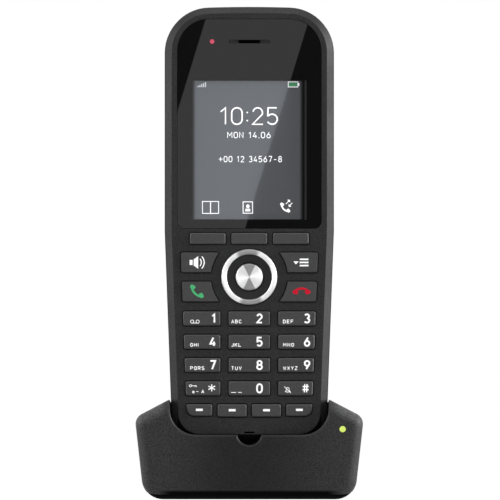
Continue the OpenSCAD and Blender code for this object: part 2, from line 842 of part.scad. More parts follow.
module rf_shield() {
    color("silver") in_handset() difference() {
        translate([-shield_w / 2, pcb_y + pcb_t, pcb_top - shield_h - 2]) cube([shield_w, shield_t, shield_h]);
        for (k = [-2:2]) translate([k * shield_w / 6, 0, pcb_top - shield_h + 2]) rod(0, hs_d, 0.6);
    }
}

module microphone() {
    color("black") in_handset() translate([0, 0, mic_z + mic_up]) rod(hs_wall, hs_wall + mic_t, mic_r);
}

module loudspeaker() {
    color("gray") in_handset() translate([0, 0, spk_z]) {
        rod(hs_d - hs_wall - spk_t + 1, hs_d - hs_wall, spk_d / 2);
        rod(hs_d - hs_wall - spk_t - 1.2, hs_d - hs_wall - spk_t + 1.1, spk_d / 2 - 3);
    }
}

// Cell standing in its bay, with its small pole up or down.
module cell(s) {
    z0 = bay_z + (s > 0 ? 2.6 : 1);
    pole = 1;
    color("seagreen") in_handset() translate([s * cell_x, cell_y, z0]) {
        translate([0, 0, s > 0 ? 0 : pole]) cylinder(h = cell_len - pole, r = cell_d / 2);
        cylinder(h = cell_len, r = 2.7);
    }
}

module battery_cell_1() { cell(-1); }
module battery_cell_2() { cell(1); }

// Flat plate at one pole of each cell and a coiled spring at the other.
module battery_contacts() {
    color("silver") in_handset() for (s = [-1, 1], top = [0, 1]) {
        sprung = (s > 0) == (top == 0);
        translate([s * cell_x, cell_y, top ? bay_z + bay_len : bay_z]) mirror([0, 0, top]) {
            translate([-4, -4, 0]) cube([8, 8, 0.4]);
            if (sprung)
                for (k = [0:4]) translate([0, 0, 0.55 + k * 0.42]) rotate_extrude()
                    translate([3.6 - k * 0.25, 0]) circle(r = 0.27, $fn = 16);
        }
    }
}

module handset_charge_contacts() {
    color("gold") in_handset() difference() {
        for (s = [-1, 1])
            translate([s * pin_x - pad_w / 2, pin_y - pad_d / 2, pad_up]) cube([pad_w, pad_d, 3]);
        for (s = [-1, 1])
            translate([s * pin_x - pad_w, pin_y - pad_d / 2 + pad_t, pad_up + pad_t])
                cube([2 * pad_w, pad_d, 3]);
    }
}

module handset_screws() {
    color("gray") in_handset() screw_places() difference() {
        union() {
            rod(hs_wall + 0.8, hs_d - 3.6, screw_r);
            rod(hs_d - 5, hs_d - 3.6, head_r);
        }
        for (a = [0, 90]) rotate([0, a, 0]) translate([-0.25, hs_d - 4.3, -1.2]) cube([0.5, 2, 2.4]);
    }
}

// ---- cradle ----
module ball(p, t) {
    translate(p) sphere(r = edge_r - t, $fn = hull_fn);
}

// Disc of radius r whose rim is rounded like the other edges.
module rim_disc(r, t) {
    rotate_extrude($fn = disc_fn) intersection() {
        translate([r - edge_r, 0]) circle(r = edge_r - t, $fn = 20);
        translate([0, -edge_r]) square([r, 2 * edge_r]);
    }
}

// Outer form of the cradle, inset by t all over.
module cradle_form(t) {
    back = cradle_d / 2 - tail_r;
    hull() for (s = [-1, 1]) {
        in_handset() {
            ball([s * ridge_x, front_y, ridge_z], t);
            ball([s * ridge_x, rear_y, ridge_z - rear_drop], t);
            ball([s * outer_x, front_y, outer_z], t);
            translate([s * corner_x, front_y, low_z + corner_r - edge_r]) rotate([90, 0, 0])
                rim_disc(corner_r, t);
        }
        translate([s * (tail_w / 2 - tail_r), back, foot_h + edge_r]) rim_disc(tail_r, t);
        translate([s * (tail_w / 2 - tail_r - 2), back, tail_h - edge_r]) rim_disc(tail_r - 0.5, t);
    }
}

module pocket_shape(t, floor) {
    intersection() {
        outline(t);
        translate([-hs_w, floor]) square([2 * hs_w, hs_len]);
    }
}

module pocket() {
    in_handset() depth(-pocket_front, pocket_back) pocket_shape(-pocket_gap, -seat_gap);
}

module tub() {
    in_handset() depth(-front_gap, pocket_back + tub_wall)
        pocket_shape(-pocket_gap - tub_wall, -seat_gap - tub_wall);
}

module opening_shape(g) {
    top = 3 * shoulder_h;
    polygon(rounded([
        [-open_x - g, lip_h - g], [open_x + g, lip_h - g], [open_x + g + 0.4, top], [-open_x - g - 0.4, top]
    ], [open_r + g, open_r + g, 0.1, 0.1], 10));
}

// Opening in front of the handset, with a notch for the thumb and a softened edge.
module front_opening() {
    in_handset() {
        depth(-front_gap - cradle_d, pocket_back - edge_r) opening_shape(0);
        translate([0, 0, notch_z]) rod(-front_gap - cradle_d, notch_deep, notch_r);
        hull() {
            depth(-front_gap - rim_w, -front_gap - rim_w + thin) opening_shape(2 * rim_w);
            depth(-front_gap + rim_w, -front_gap + rim_w + thin) opening_shape(0);
        }
        translate([0, -front_gap + rim_w, notch_z]) rotate([90, 0, 0])
            cylinder(h = 2 * rim_w, r1 = notch_r, r2 = notch_r + 2.2 * rim_w);
    }
}

// Raised support behind the handset: it rises from the rear wall and slopes down into the tail.
module back_rest() {
    r = 2.6;
    y = pocket_back + r;
    wide = half_w(0) - bottom_r;
    in_handset() hull() for (s = [-1, 1]) {
        translate([s * wide, y, rest_h - r]) sphere(r = r, $fn = hull_fn);
        translate([s * (wide + 5), y, ridge_z - rear_drop - 2]) sphere(r = r, $fn = hull_fn);
        translate([s * wide, y + 11, 0]) sphere(r = r, $fn = hull_fn);
    }
}

// Upright round posts or bores at the cradle's screws.
module bosses(z0, z1, r) {
    for (s = [-1, 1], p = boss_spots) translate([s * p.x, p.y, z0]) cylinder(h = z1 - z0, r = r);
}

module plug_recess(g) {
    translate([-plug_w / 2 - g, cradle_d / 2 - plug_deep - g, plug_z - plug_h / 2 - g])
        cube([plug_w + 2 * g, plug_deep + cut + g, plug_h + 2 * g]);
}

module led_axis(y0, y1, r) {
    in_handset() translate([led_x, 0, led_z]) rod(y0, y1, r);
}

module pins(z0, z1, r) {
    in_handset() for (s = [-1, 1]) translate([s * pin_x, pin_y, z0]) cylinder(h = z1 - z0, r = r);
}

module cradle_shell() {
    color([0.17, 0.17, 0.18]) difference() {
        union() {
            cradle_form(0);
            back_rest();
        }
        difference() {
            cradle_form(cradle_wall);
            tub();
            bosses(seam_z, hs_rise, boss_r);
            plug_recess(1.2);
            led_axis(-front_gap, 2, led_d / 2 + 1);
        }
        translate([-cradle_w, -cradle_d, -cut]) cube([2 * cradle_w, 2 * cradle_d, seam_z + cut]);
        pocket();
        front_opening();
        bosses(seam_z - cut, seam_z + 6, screw_r + 0.03);
        plug_recess(0);
        translate([-socket_w / 2 - 0.1, cradle_d / 2 - plug_deep - 3, plug_z - socket_h / 2 - 0.1])
            cube([socket_w + 0.2, 4, socket_h + 0.2]);
        led_axis(-front_gap - cut, 3, led_d / 2 + 0.05);
        pins(block_top - cut, cut, pin_d / 2 + pin_gap);
    }
}

module foot_places() {
    for (s = [-1, 1], p = foot_spots) translate([s * p.x, p.y, 0]) children();
}

module cradle_bottom_plate() {
    color([0.1, 0.1, 0.1]) difference() {
        union() {
            intersection() {
                cradle_form(seam);
                translate([-cradle_w, -cradle_d, 0]) cube([2 * cradle_w, 2 * cradle_d, seam_z - seam]);
            }
            // Posts under the charging board.
            for (s = [-1, 1], y = [3 - pcb2_front, pcb2_front])
                translate([s * (pcb2_w / 2 - 3), y, seam_z - 0.5]) cylinder(h = 0.5 + pcb2_z - seam_z, r = 2);
        }
        bosses(0, seam_z, screw_r + 0.15);
        bosses(0, foot_h + 0.1 + base_head_t, base_head_r + 0.2);
        foot_places() cylinder(h = foot_h + foot_sink, r = foot_d / 2 + 0.1);
    }
}

module cradle_feet() {
    color([0.08, 0.08, 0.08]) foot_places() {
        cylinder(h = foot_h + foot_sink, r = foot_d / 2 - 0.3);
        translate([0, 0, 0.3]) cylinder(h = foot_h + foot_sink - 0.3, r = foot_d / 2);
    }
}

module cradle_screws() {
    color("gray") difference() {
        union() {
            bosses(foot_h + 0.1, foot_h + 0.1 + base_head_t, base_head_r);
            bosses(foot_h + 0.1, seam_z + 5, screw_r);
        }
        for (s = [-1, 1], p = boss_spots, a = [0, 90])
            translate([s * p.x, p.y, 0]) rotate([0, 0, a])
                translate([-1.2, -0.25, 0]) cube([2.4, 0.5, foot_h + 0.8]);
    }
}

module cradle_pcb() {
    y1 = cradle_d / 2 - plug_deep - 1.4;
    color("darkgreen") translate([-pcb2_w / 2, -pcb2_front, pcb2_z]) cube([pcb2_w, y1 + pcb2_front, pcb2_t]);
}

module charge_led_lens() {
    color("yellowgreen") led_axis(-front_gap, 4, led_d / 2);
}

module pin_block() {
    color("black") difference() {
        in_handset() translate([-pin_x - block_w, pin_y - block_w, block_top - block_len])
            cube([2 * (pin_x + block_w), 2 * block_w, block_len]);
        pins(block_top - block_len + 0.8, cut, collar_r + 0.1);
    }
}

module charge_pin(s) {
    color("gold") in_handset() translate([s * pin_x, pin_y, 0]) {
        translate([0, 0, pin_tip - pin_d / 2]) intersection() {
            sphere(r = pin_d / 2);
            translate([-pin_d, -pin_d, 0]) cube(2 * pin_d);
        }
        translate([0, 0, collar_z]) cylinder(h = pin_tip - pin_d / 2 - collar_z, r = pin_d / 2);
        translate([0, 0, collar_z]) cylinder(h = collar_t, r = collar_r);
    }
}

module charge_pin_left() { charge_pin(-1); }
module charge_pin_right() { charge_pin(1); }

// Coil spring under a pin: a round wire swept along its helix.
module charge_spring(s) {
    turns = 6;
    sides = 6;
    steps = 12 * turns;
    low = block_top - block_len + 0.8 + spring_wire;
    high = collar_z - spring_wire - 0.02;
    r = collar_r - spring_wire - 0.1;
    function ring(k) = let (a = 360 * turns * k / steps, z = low + (high - low) * k / steps)
        [for (j = [0:sides - 1]) let (b = 360 * j / sides)
            [(r + spring_wire * cos(b)) * cos(a), (r + spring_wire * cos(b)) * sin(a), z + spring_wire * sin(b)]];
    pts = [for (k = [0:steps]) each ring(k)];
    walls = [for (k = [0:steps - 1], j = [0:sides - 1])
        [k * sides + j, (k + 1) * sides + j, (k + 1) * sides + (j + 1) % sides, k * sides + (j + 1) % sides]];
    ends = [[for (j = [0:sides - 1]) j], [for (j = [sides - 1:-1:0]) steps * sides + j]];
    color("silver") in_handset() translate([s * pin_x, pin_y, 0]) polyhedron(pts, concat(walls, ends));
}

module charge_spring_left() { charge_spring(-1); }
module charge_spring_right() { charge_spring(1); }

module power_socket() {
    y0 = cradle_d / 2 - plug_deep - socket_d;
    color("silver") difference() {
        translate([-socket_w / 2, y0, plug_z - socket_h / 2]) cube([socket_w, socket_d, socket_h]);
        translate([-socket_w / 2 + 0.3, y0 + 1, plug_z - socket_h / 2 + 0.3])
            cube([socket_w - 0.6, socket_d, socket_h - 1.1]);
        translate([-socket_w / 2 + 0.9, y0 + 1, plug_z]) cube([socket_w - 1.8, socket_d, socket_h / 2 - 0.3]);
    }
}

handset_front_shell();
handset_rear_shell();
display_window();
lcd_panel();
lcd_frame();
earpiece_grille();
earpiece_receiver();
status_led_lens();
keypad_mat();
main_pcb();
rf_shield();
microphone();
loudspeaker();
battery_cell_1();
battery_cell_2();
battery_contacts();
battery_door();
handset_charge_contacts();
handset_screws();
softkey_left();
softkey_middle();
softkey_right();
key_speaker();
key_menu();
key_call();
key_end();
nav_carrier();
nav_rocker();
nav_ring();
nav_ok();
key_1();
key_2();
key_3();
key_4();
key_5();
key_6();
key_7();
key_8();
key_9();
key_star();
key_0();
key_hash();
fkey_1();
fkey_2();
fkey_3();
fkey_4();
cradle_shell();
cradle_bottom_plate();
cradle_feet();
cradle_screws();
cradle_pcb();
charge_led_lens();
pin_block();
charge_pin_left();
charge_pin_right();
charge_spring_left();
charge_spring_right();
power_socket();
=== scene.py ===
import json
import math

import bmesh
import bpy
import numpy as np
from mathutils import Matrix, Vector


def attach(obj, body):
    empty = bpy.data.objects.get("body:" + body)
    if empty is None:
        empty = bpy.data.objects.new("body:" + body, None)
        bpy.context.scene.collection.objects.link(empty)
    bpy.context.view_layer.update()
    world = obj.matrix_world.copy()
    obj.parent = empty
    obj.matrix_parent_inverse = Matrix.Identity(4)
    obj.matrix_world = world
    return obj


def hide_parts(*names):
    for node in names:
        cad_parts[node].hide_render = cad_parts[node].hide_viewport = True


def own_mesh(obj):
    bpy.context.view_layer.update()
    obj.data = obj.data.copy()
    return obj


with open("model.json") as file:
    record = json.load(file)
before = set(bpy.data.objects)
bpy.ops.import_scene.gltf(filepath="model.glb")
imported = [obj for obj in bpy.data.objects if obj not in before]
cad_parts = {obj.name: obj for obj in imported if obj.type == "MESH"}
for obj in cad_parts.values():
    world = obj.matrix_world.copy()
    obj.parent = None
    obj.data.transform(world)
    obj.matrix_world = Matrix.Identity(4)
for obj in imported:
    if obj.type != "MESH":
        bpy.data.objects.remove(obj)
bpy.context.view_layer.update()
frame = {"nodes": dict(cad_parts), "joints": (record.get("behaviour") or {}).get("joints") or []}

nodes = frame["nodes"]
mm = 0.001
print("frame loaded:", len(nodes), "nodes")

# The handset's own axes: across, into the face, up its length.

liftAxis = next(j["axis"] for j in frame["joints"] if j["name"] == "handset_lift")
upAxis = np.array(liftAxis, float)
acrossAxis = np.array([1.0, 0.0, 0.0])
inwardAxis = np.cross(upAxis, acrossAxis)
leanAxes = np.stack([acrossAxis, inwardAxis, upAxis])
leanAngle = math.atan2(upAxis[1], upAxis[2])


def nodePoints(name):
    # All corners of a CAD node, as one array.
    mesh = nodes[name].data
    flat = np.empty(len(mesh.vertices) * 3)
    mesh.vertices.foreach_get("co", flat)
    return flat.reshape(-1, 3)


def leanBox(name):
    # A node's lowest and highest corner along the handset's axes, in metres.
    turned = nodePoints(name) @ leanAxes.T
    return turned.min(0), turned.max(0)


# The handset's zero point: middle of its width, on the face, at its lower end.
leanZero = np.array([0.0, leanBox("handset_front_shell")[0][1], leanBox("handset_rear_shell")[0][2]])
worldZero = leanZero @ leanAxes


def placed(name):
    # The same two corners in mm from the handset's zero point: x across, y inward, z up its length.
    low, high = leanBox(name)
    return (low - leanZero) / mm, (high - leanZero) / mm


def onHandset(points):
    # Points in mm along the handset's axes, turned into the row's frame in metres.
    return (np.asarray(points, float) * mm + leanZero) @ leanAxes


# Helpers that make a mesh. Flat drawings are lists of points across and up, in mm on the face.

def makePiece(name, verts, faces, materials, body, replaced=(), smooth=False):
    # Puts corners and faces into a mesh at the origin and lets it ride on a body.
    mesh = bpy.data.meshes.new(name)
    mesh.from_pydata(np.asarray(verts).tolist(), [], faces)
    for material in materials:
        mesh.materials.append(material)
    work = bmesh.new()
    work.from_mesh(mesh)
    bmesh.ops.recalc_face_normals(work, faces=work.faces)
    work.to_mesh(mesh)
    work.free()
    mesh.polygons.foreach_set("use_smooth", np.full(len(mesh.polygons), smooth))
    mesh.update()
    piece = bpy.data.objects.new(name, mesh)
    bpy.context.scene.collection.objects.link(piece)
    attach(piece, body)
    if replaced:
        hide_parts(*replaced)
    return piece


# Prints, in mm: thickness, how far a shape lies over the next, and the distance that counts as none.
# The corner's number is the least cosine there.
inkLook = {"thick": 0.03, "sheet": 0.001, "same": 1e-5, "corner": 0.55}
sheet = inkLook["sheet"]


def stroke(points, width, thick=inkLook["thick"], lift=0.0):
    # A printed stroke: every point of a path moved half the width to both sides, along the mitre
    # of the directions before and after it, and given a thickness towards the viewer. The half
    # width grows with one over the cosine of half the turn, at most to 1.8 times.
    p = np.asarray(points, float)
    keep = np.append(True, np.linalg.norm(np.diff(p, axis=0), axis=1) > inkLook["same"])
    p, width = p[keep], np.broadcast_to(np.asarray(width, float), (len(keep),))[keep]
    step = np.diff(p, axis=0)
    step /= np.linalg.norm(step, axis=1)[:, None]
    closed = np.linalg.norm(p[0] - p[-1]) < inkLook["same"]
    before = np.vstack([step[-1:] if closed else step[:1], step])
    after = np.vstack([step, step[:1] if closed else step[-1:]])
    across = np.stack([-(before + after)[:, 1], (before + after)[:, 0]], 1)
    across /= np.maximum(np.linalg.norm(across, axis=1), 1e-9)[:, None]
    stretch = np.maximum(across[:, 0] * -after[:, 1] + across[:, 1] * after[:, 0], inkLook["corner"])
    side = across * (width / 2 / stretch)[:, None]
    n = len(p)
    ring = np.empty((n, 4, 3))
    edges = [(p + side, 0), (p - side, 0), (p - side, thick), (p + side, thick)]
    for k, (edge, depth) in enumerate(edges):
        ring[:, k, 0], ring[:, k, 2], ring[:, k, 1] = edge[:, 0], edge[:, 1], -lift - depth
    i, k = np.arange(n - 1)[:, None] * 4, np.arange(4)[None, :]
    faces = np.stack([i + k, i + (k + 1) % 4, i + 4 + (k + 1) % 4, i + 4 + k], -1).reshape(-1, 4).tolist()
    if not closed:
        faces += [[3, 2, 1, 0], [4 * n - 4, 4 * n - 3, 4 * n - 2, 4 * n - 1]]
    else:
        faces = [[j % (4 * n - 4) for j in face] for face in faces]
        ring = ring[:-1]
    return ring.reshape(-1, 3), faces


def patch(points, thick=inkLook["thick"], lift=0.0):
    # A filled outline with a thickness: its rim, the same rim nearer the viewer, and walls between.
    p = np.asarray(points, float)
    n = len(p)
    verts = np.zeros((2 * n, 3))
    verts[:, 0], verts[:, 2] = np.tile(p[:, 0], 2), np.tile(p[:, 1], 2)
    verts[:n, 1], verts[n:, 1] = -lift, -lift - thick
    walls = [[k, (k + 1) % n, n + (k + 1) % n, n + k] for k in range(n)]
    return verts, [list(range(n)), list(range(n, 2 * n))] + walls


def joined(parts):
    # Several shells in one list of corners and faces.
    verts, faces, count = [], [], 0
    for v, f in parts:
        verts.append(v)
        faces += [[i + count for i in face] for face in f]
        count += len(v)
    return np.vstack(verts), faces


def bend(x, z, rx, rz, a0, a1, steps=10):
    # Points on an ellipse from angle a0 to a1, in degrees.
    a = np.radians(np.linspace(a0, a1, steps + 1))
    return np.stack([x + rx * np.cos(a), z + rz * np.sin(a)], 1).tolist()


def oblong(x0, x1, z0, z1):
    # The four corners of an upright rectangle.
    return [(x0, z0), (x1, z0), (x1, z1), (x0, z1)]


# Letters and figures, drawn as strokes in a box one wide and one high.

loop = bend(.5, .7, .5, .3, 0, 180) + bend(.5, .3, .5, .3, 180, 360)
glyphs = {
    "0": [loop + loop[:1]],
    "1": [[(.05, .76), (.72, 1), (.72, 0)]],
    "2": [bend(.5, .7, .46, .3, 168, -20) + [(.0, 0), (1, 0)]],
    "3": [bend(.46, .75, .44, .25, 150, -88), bend(.46, .26, .52, .26, 86, -150)],
    "4": [[(.6, 1), (.0, .26), (1, .26)], [(.74, .52), (.74, 0)]],
    "5": [[(.92, 1), (.1, 1), (.06, .52)] + bend(.48, .31, .5, .31, 140, -150)],
    "6": [[(.68, 1), (.07, .42)], bend(.5, .3, .48, .3, 0, 360, 20)],
    "7": [[(0, 1), (1, 1), (.36, 0)]],
    "8": [bend(.5, .76, .42, .24, -90, 270, 20), bend(.5, .26, .5, .26, 90, 450, 20)],
    "9": [[(.32, 0), (.93, .58)], bend(.5, .7, .48, .3, 0, 360, 20)],
    "A": [[(0, 0), (.5, 1), (1, 0)], [(.16, .3), (.84, .3)]],
    "B": [[(0, .53), (0, 1), (.5, 1)] + bend(.5, .765, .42, .235, 90, -90) + [(0, .53)],
          [(0, .53), (.5, .53)] + bend(.5, .265, .5, .265, 90, -90) + [(0, 0), (0, .53)]],
    "C": [bend(.5, .68, .5, .32, 20, 180) + bend(.5, .32, .5, .32, 180, 340)],
    "D": [[(0, 0), (0, 1), (.45, 1)] + bend(.45, .5, .55, .5, 90, -90) + [(0, 0)]],
    "E": [[(1, 1), (0, 1), (0, 0), (1, 0)], [(0, .52), (.85, .52)]],
    "F": [[(1, 1), (0, 1), (0, 0)], [(0, .5), (.85, .5)]],
    "G": [bend(.5, .68, .5, .32, 20, 180) + bend(.5, .32, .5, .32, 180, 360) + [(1, .48), (.55, .48)]],
    "H": [[(0, 0), (0, 1)], [(1, 0), (1, 1)], [(0, .5), (1, .5)]],
    "I": [[(.5, 0), (.5, 1)]],
    "J": [[(1, 1), (1, .3)] + bend(.5, .3, .5, .3, 0, -160)],
    "K": [[(0, 0), (0, 1)], [(1, 1), (0, .42)], [(.35, .6), (1, 0)]],
    "L": [[(0, 1), (0, 0), (1, 0)]],
    "M": [[(0, 0), (0, 1), (.5, .4), (1, 1), (1, 0)]],
    "N": [[(0, 0), (0, 1), (1, 0), (1, 1)]],
    "P": [[(0, 0), (0, 1), (.5, 1)] + bend(.5, .74, .5, .26, 90, -90) + [(0, .48)]],
    "S": [bend(.5, .75, .47, .25, 25, 270) + bend(.5, .25, .5, .25, 88, -155)],
    "T": [[(0, 1), (1, 1)], [(.5, 1), (.5, 0)]],
    "U": [[(0, 1), (0, .3)] + bend(.5, .3, .5, .3, 180, 360) + [(1, 1)]],
    "V": [[(0, 1), (.5, 0), (1, 1)]],
    "W": [[(0, 1), (.25, 0), (.5, .8), (.75, 0), (1, 1)]],
    "X": [[(0, 0), (1, 1)], [(0, 1), (1, 0)]],
    "Y": [[(0, 1), (.5, .46), (1, 1)], [(.5, .46), (.5, 0)]],
    "Z": [[(0, 1), (1, 1), (0, 0), (1, 0)]],
    "a": [bend(.46, .26, .46, .26, 0, 360, 14), [(.95, .52), (.95, 0)]],
    "*": [[(.5, .0), (.5, 1)], [(.03, .25), (.97, .75)], [(.03, .75), (.97, .25)]],
    "#": [[(.3, 0), (.38, 1)], [(.66, 0), (.74, 1)], [(0, .32), (.98, .32)], [(.04, .7), (1, .7)]],
    "+": [[(.5, .12), (.5, .88)], [(-.1, .5), (1.1, .5)]],
    "-": [[(.1, .42), (.9, .42)]],
}
glyphs["O"] = glyphs["0"]
glyphs["Q"] = glyphs["0"] + [[(.6, .3), (1.02, -.04)]]
glyphs["R"] = glyphs["P"] + [[(.5, .48), (1, 0)]]

# Widths of the letters' boxes where they aren't one.
cellWidth = {"I": 0.15, "1": 0.72, ":": 0.28, ".": 0.28, " ": 0.55, "J": 0.85, "M": 1.2, "W": 1.12}

letterLook = {"aspect": 0.62, "gap": 0.2, "dot": 0.62, "layer": 0.002, "least": 0.02,
              "dots": {":": (0.22, 0.72), ".": (0.0,)}}


def lettering(text, x, z, height, weight, aspect=letterLook["aspect"], gap=letterLook["gap"],
              lift=0.0, align="left", thick=inkLook["thick"]):
    # Text from its baseline up: each skeleton is scaled so that the inked height is the height given.
    cell = height * aspect
    widths = [cell * cellWidth.get(c, 1.0) for c in text]
    total = sum(widths) + gap * height * (len(text) - 1)
    x = {"left": x, "middle": x - total / 2, "right": x - total}[align]
    parts = []
    for c, w in zip(text, widths):
        for up in letterLook["dots"].get(c, ()):
            r = weight * letterLook["dot"]
            dot = bend(x + w / 2, z + r + up * (height - 2 * r), r, r, 0, 350, steps=12)
            parts.append(patch(dot, thick, lift))
        for k, path in enumerate(glyphs.get(c, [])):
            ink = [max(w - weight, letterLook["least"]), height - weight]
            at = np.asarray(path, float) * ink + [x + weight / 2, z + weight / 2]
            parts.append(stroke(at, weight, thick + letterLook["layer"] * k, lift))
        x += w + gap * height
    return parts


# Helpers that build the finishes from nodes. Places are Object coordinates.

def newFinish(name):
    # An empty material with its tree and its Principled shader.
    material = bpy.data.materials.new(name)
    material.use_nodes = True
    tree = material.node_tree
    return material, tree, tree.nodes["Principled BSDF"]


def addNode(tree, kind, attributes=None, **inputs):
    # A node of the kind given, with its settings and the levels of its inputs.
    node = tree.nodes.new(kind)
    for key, value in (attributes or {}).items():
        setattr(node, key, value)
    for key, value in inputs.items():
        node.inputs[key.replace("_", " ")].default_value = value
    return node


def join(tree, *pairs):
    # Links each input to its source.
    for socket, source in pairs:
        tree.links.new(source, socket)


def figure(tree, operation, *terms):
    # A Math node on sockets or numbers.
    node = addNode(tree, "ShaderNodeMath", {"operation": operation})
    for socket, term in zip(node.inputs, terms):
        if isinstance(term, (int, float)):
            socket.default_value = term
        else:
            join(tree, (socket, term))
    return node.outputs[0]


def vector(tree, operation, *terms):
    # A Vector Math node on sockets or triples. Where it scales, the second term is the share.
    node = addNode(tree, "ShaderNodeVectorMath", {"operation": operation})
    sockets = (node.inputs[0], node.inputs["Scale"] if operation == "SCALE" else node.inputs[1])
    for socket, term in zip(sockets, terms):
        if isinstance(term, tuple):
            socket.default_value = term
        else:
            join(tree, (socket, term))
    return node.outputs["Value" if operation in ("LENGTH", "DOT_PRODUCT") else "Vector"]


def ramp(tree, value, start, end, low, high, smooth=False):
    # From one level to another as the value goes from start to end: straight, or as a smooth step.
    settings = {"interpolation_type": "SMOOTHSTEP"} if smooth else None
    node = addNode(tree, "ShaderNodeMapRange", settings,
                   From_Min=start, From_Max=end, To_Min=low, To_Max=high)
    join(tree, (node.inputs["Value"], value))
    return node.outputs["Result"]


def stepOver(tree, length, start, end, low, high):
    # A smooth step over a length in metres, with start and end in mm.
    return ramp(tree, length, start * mm, end * mm, low, high, smooth=True)


def apart(tree, place):
    # The coordinates of a place, each by itself.
    split = addNode(tree, "ShaderNodeSeparateXYZ")
    join(tree, (split.inputs[0], place))
    return split.outputs


def mixed(tree, share, first, second):
    # Two shaders: all of the first where the share is zero, all of the second where it is one.
    mix = addNode(tree, "ShaderNodeMixShader")
    join(tree, (mix.inputs[0], share), (mix.inputs[1], first), (mix.inputs[2], second))
    return mix.outputs[0]


def roundedEdges(tree, edge):
    # A normal that turns smoothly over sharp edges, within the width given.
    return addNode(tree, "ShaderNodeBevel", {"samples": 4}, Radius=edge * mm).outputs[0]


def onHandsetAxes(tree):
    # Object coordinates in metres, turned and centred on the handset's zero point.
    place = addNode(tree, "ShaderNodeTexCoord")
    turned = addNode(tree, "ShaderNodeMapping", {"vector_type": "TEXTURE"},
                     Location=tuple(worldZero), Rotation=(-leanAngle, 0, 0))
    join(tree, (turned.inputs["Vector"], place.outputs["Object"]))
    return turned.outputs["Vector"]


def insideFrame(tree, place, middle, half, soft):
    # One inside a rectangle on the face and zero outside, from the distances to its middle. The border is
    # soft over the widths given, across and up: three quarters of it lie inside.
    sides = apart(tree, place)
    shares = []
    for k, axis in enumerate(("X", "Z")):
        away = figure(tree, "ABSOLUTE", figure(tree, "SUBTRACT", sides[axis], middle[k] * mm))
        shares.append(stepOver(tree, away, half[k] - soft[k], half[k] + soft[k] / 3, 1.0, 0.0))
    return figure(tree, "MULTIPLY", *shares)


noiseRange = (0.3, 0.7)      # where nearly all levels of Blender's noise lie


def cloudyColour(tree, place, shader, colour, size, amount, detail=2.0):
    # The colour given, made slightly lighter and darker by soft noise of the size given.
    noise = addNode(tree, "ShaderNodeTexNoise", Scale=1 / (size * mm), Detail=detail, Roughness=0.6)
    join(tree, (noise.inputs["Vector"], place))
    tint = vector(tree, "SCALE", colour, ramp(tree, noise.outputs[0], *noiseRange, 1 - amount, 1 + amount))
    join(tree, (shader.inputs["Base Color"], tint))
    return noise.outputs[0], tint


lipShadeLook = {"from": 4.0, "to": 4.7, "flat": 22.0, "corner": 27.0,
           "level": 0.0012, "roughness": 0.8, "gloss": 0.04}


def paintedLipShade(tree, place, shader):
    # Painted shade on the lip under the cradle, where no light comes from below: nearly black and dull
    # where it lies low, fading out towards the corners. The share is one minus a ramp over the height,
    # times one minus a ramp over the distance to the middle.
    look = lipShadeLook
    dull = addNode(tree, "ShaderNodeBsdfPrincipled", Roughness=look["roughness"],
                   Base_Color=(look["level"],) * 3 + (1,))
    dull.inputs["Specular IOR Level"].default_value = look["gloss"]
    sides = apart(tree, place)
    low = stepOver(tree, sides["Z"], look["from"], look["to"], 1.0, 0.0)
    central = stepOver(tree, figure(tree, "ABSOLUTE", sides["X"]), look["flat"], look["corner"], 1.0, 0.0)
    whole = mixed(tree, figure(tree, "MULTIPLY", low, central), shader.outputs[0], dull.outputs[0])
    join(tree, (tree.nodes["Material Output"].inputs["Surface"], whole))


gapShadeLook = {"half": (20.6, 40.0), "middle": 32.0, "level": 0.03, "soft": (0.2, 0.2)}


def paintedGapShade(tree, tint, depths):
    # Painted shade in the gaps round the keys: the colour falls between two depths below the face, inside
    # the field of keys. The factor is one minus the ramp over the depth times the share of the field.
    place = onHandsetAxes(tree)
    deep = stepOver(tree, apart(tree, place)["Y"], *depths, 0.0, 1 - gapShadeLook["level"])
    field = insideFrame(tree, place, (0, gapShadeLook["middle"]), gapShadeLook["half"], gapShadeLook["soft"])
    return vector(tree, "SCALE", tint, figure(tree, "SUBTRACT", 1.0, figure(tree, "MULTIPLY", deep, field)))


flankSheenLook = {"from": 2.0, "to": 31.0, "middle": 0.5, "side": 1.6}
shoulderHighlightLook = {"x": 23.5, "z": 11.5, "slope": 0.545, "lit": 1.5, "reach": 4.2,
                "inward": (0.5, 3.0), "soft": 2.0}
pocketShadeLook = {"lost": 0.65, "half": (23.4, 9.0), "z": 6.0, "soft": (0.3, 0.3), "front": (-0.6, 0.2),
              "back": (20.9, 21.2)}


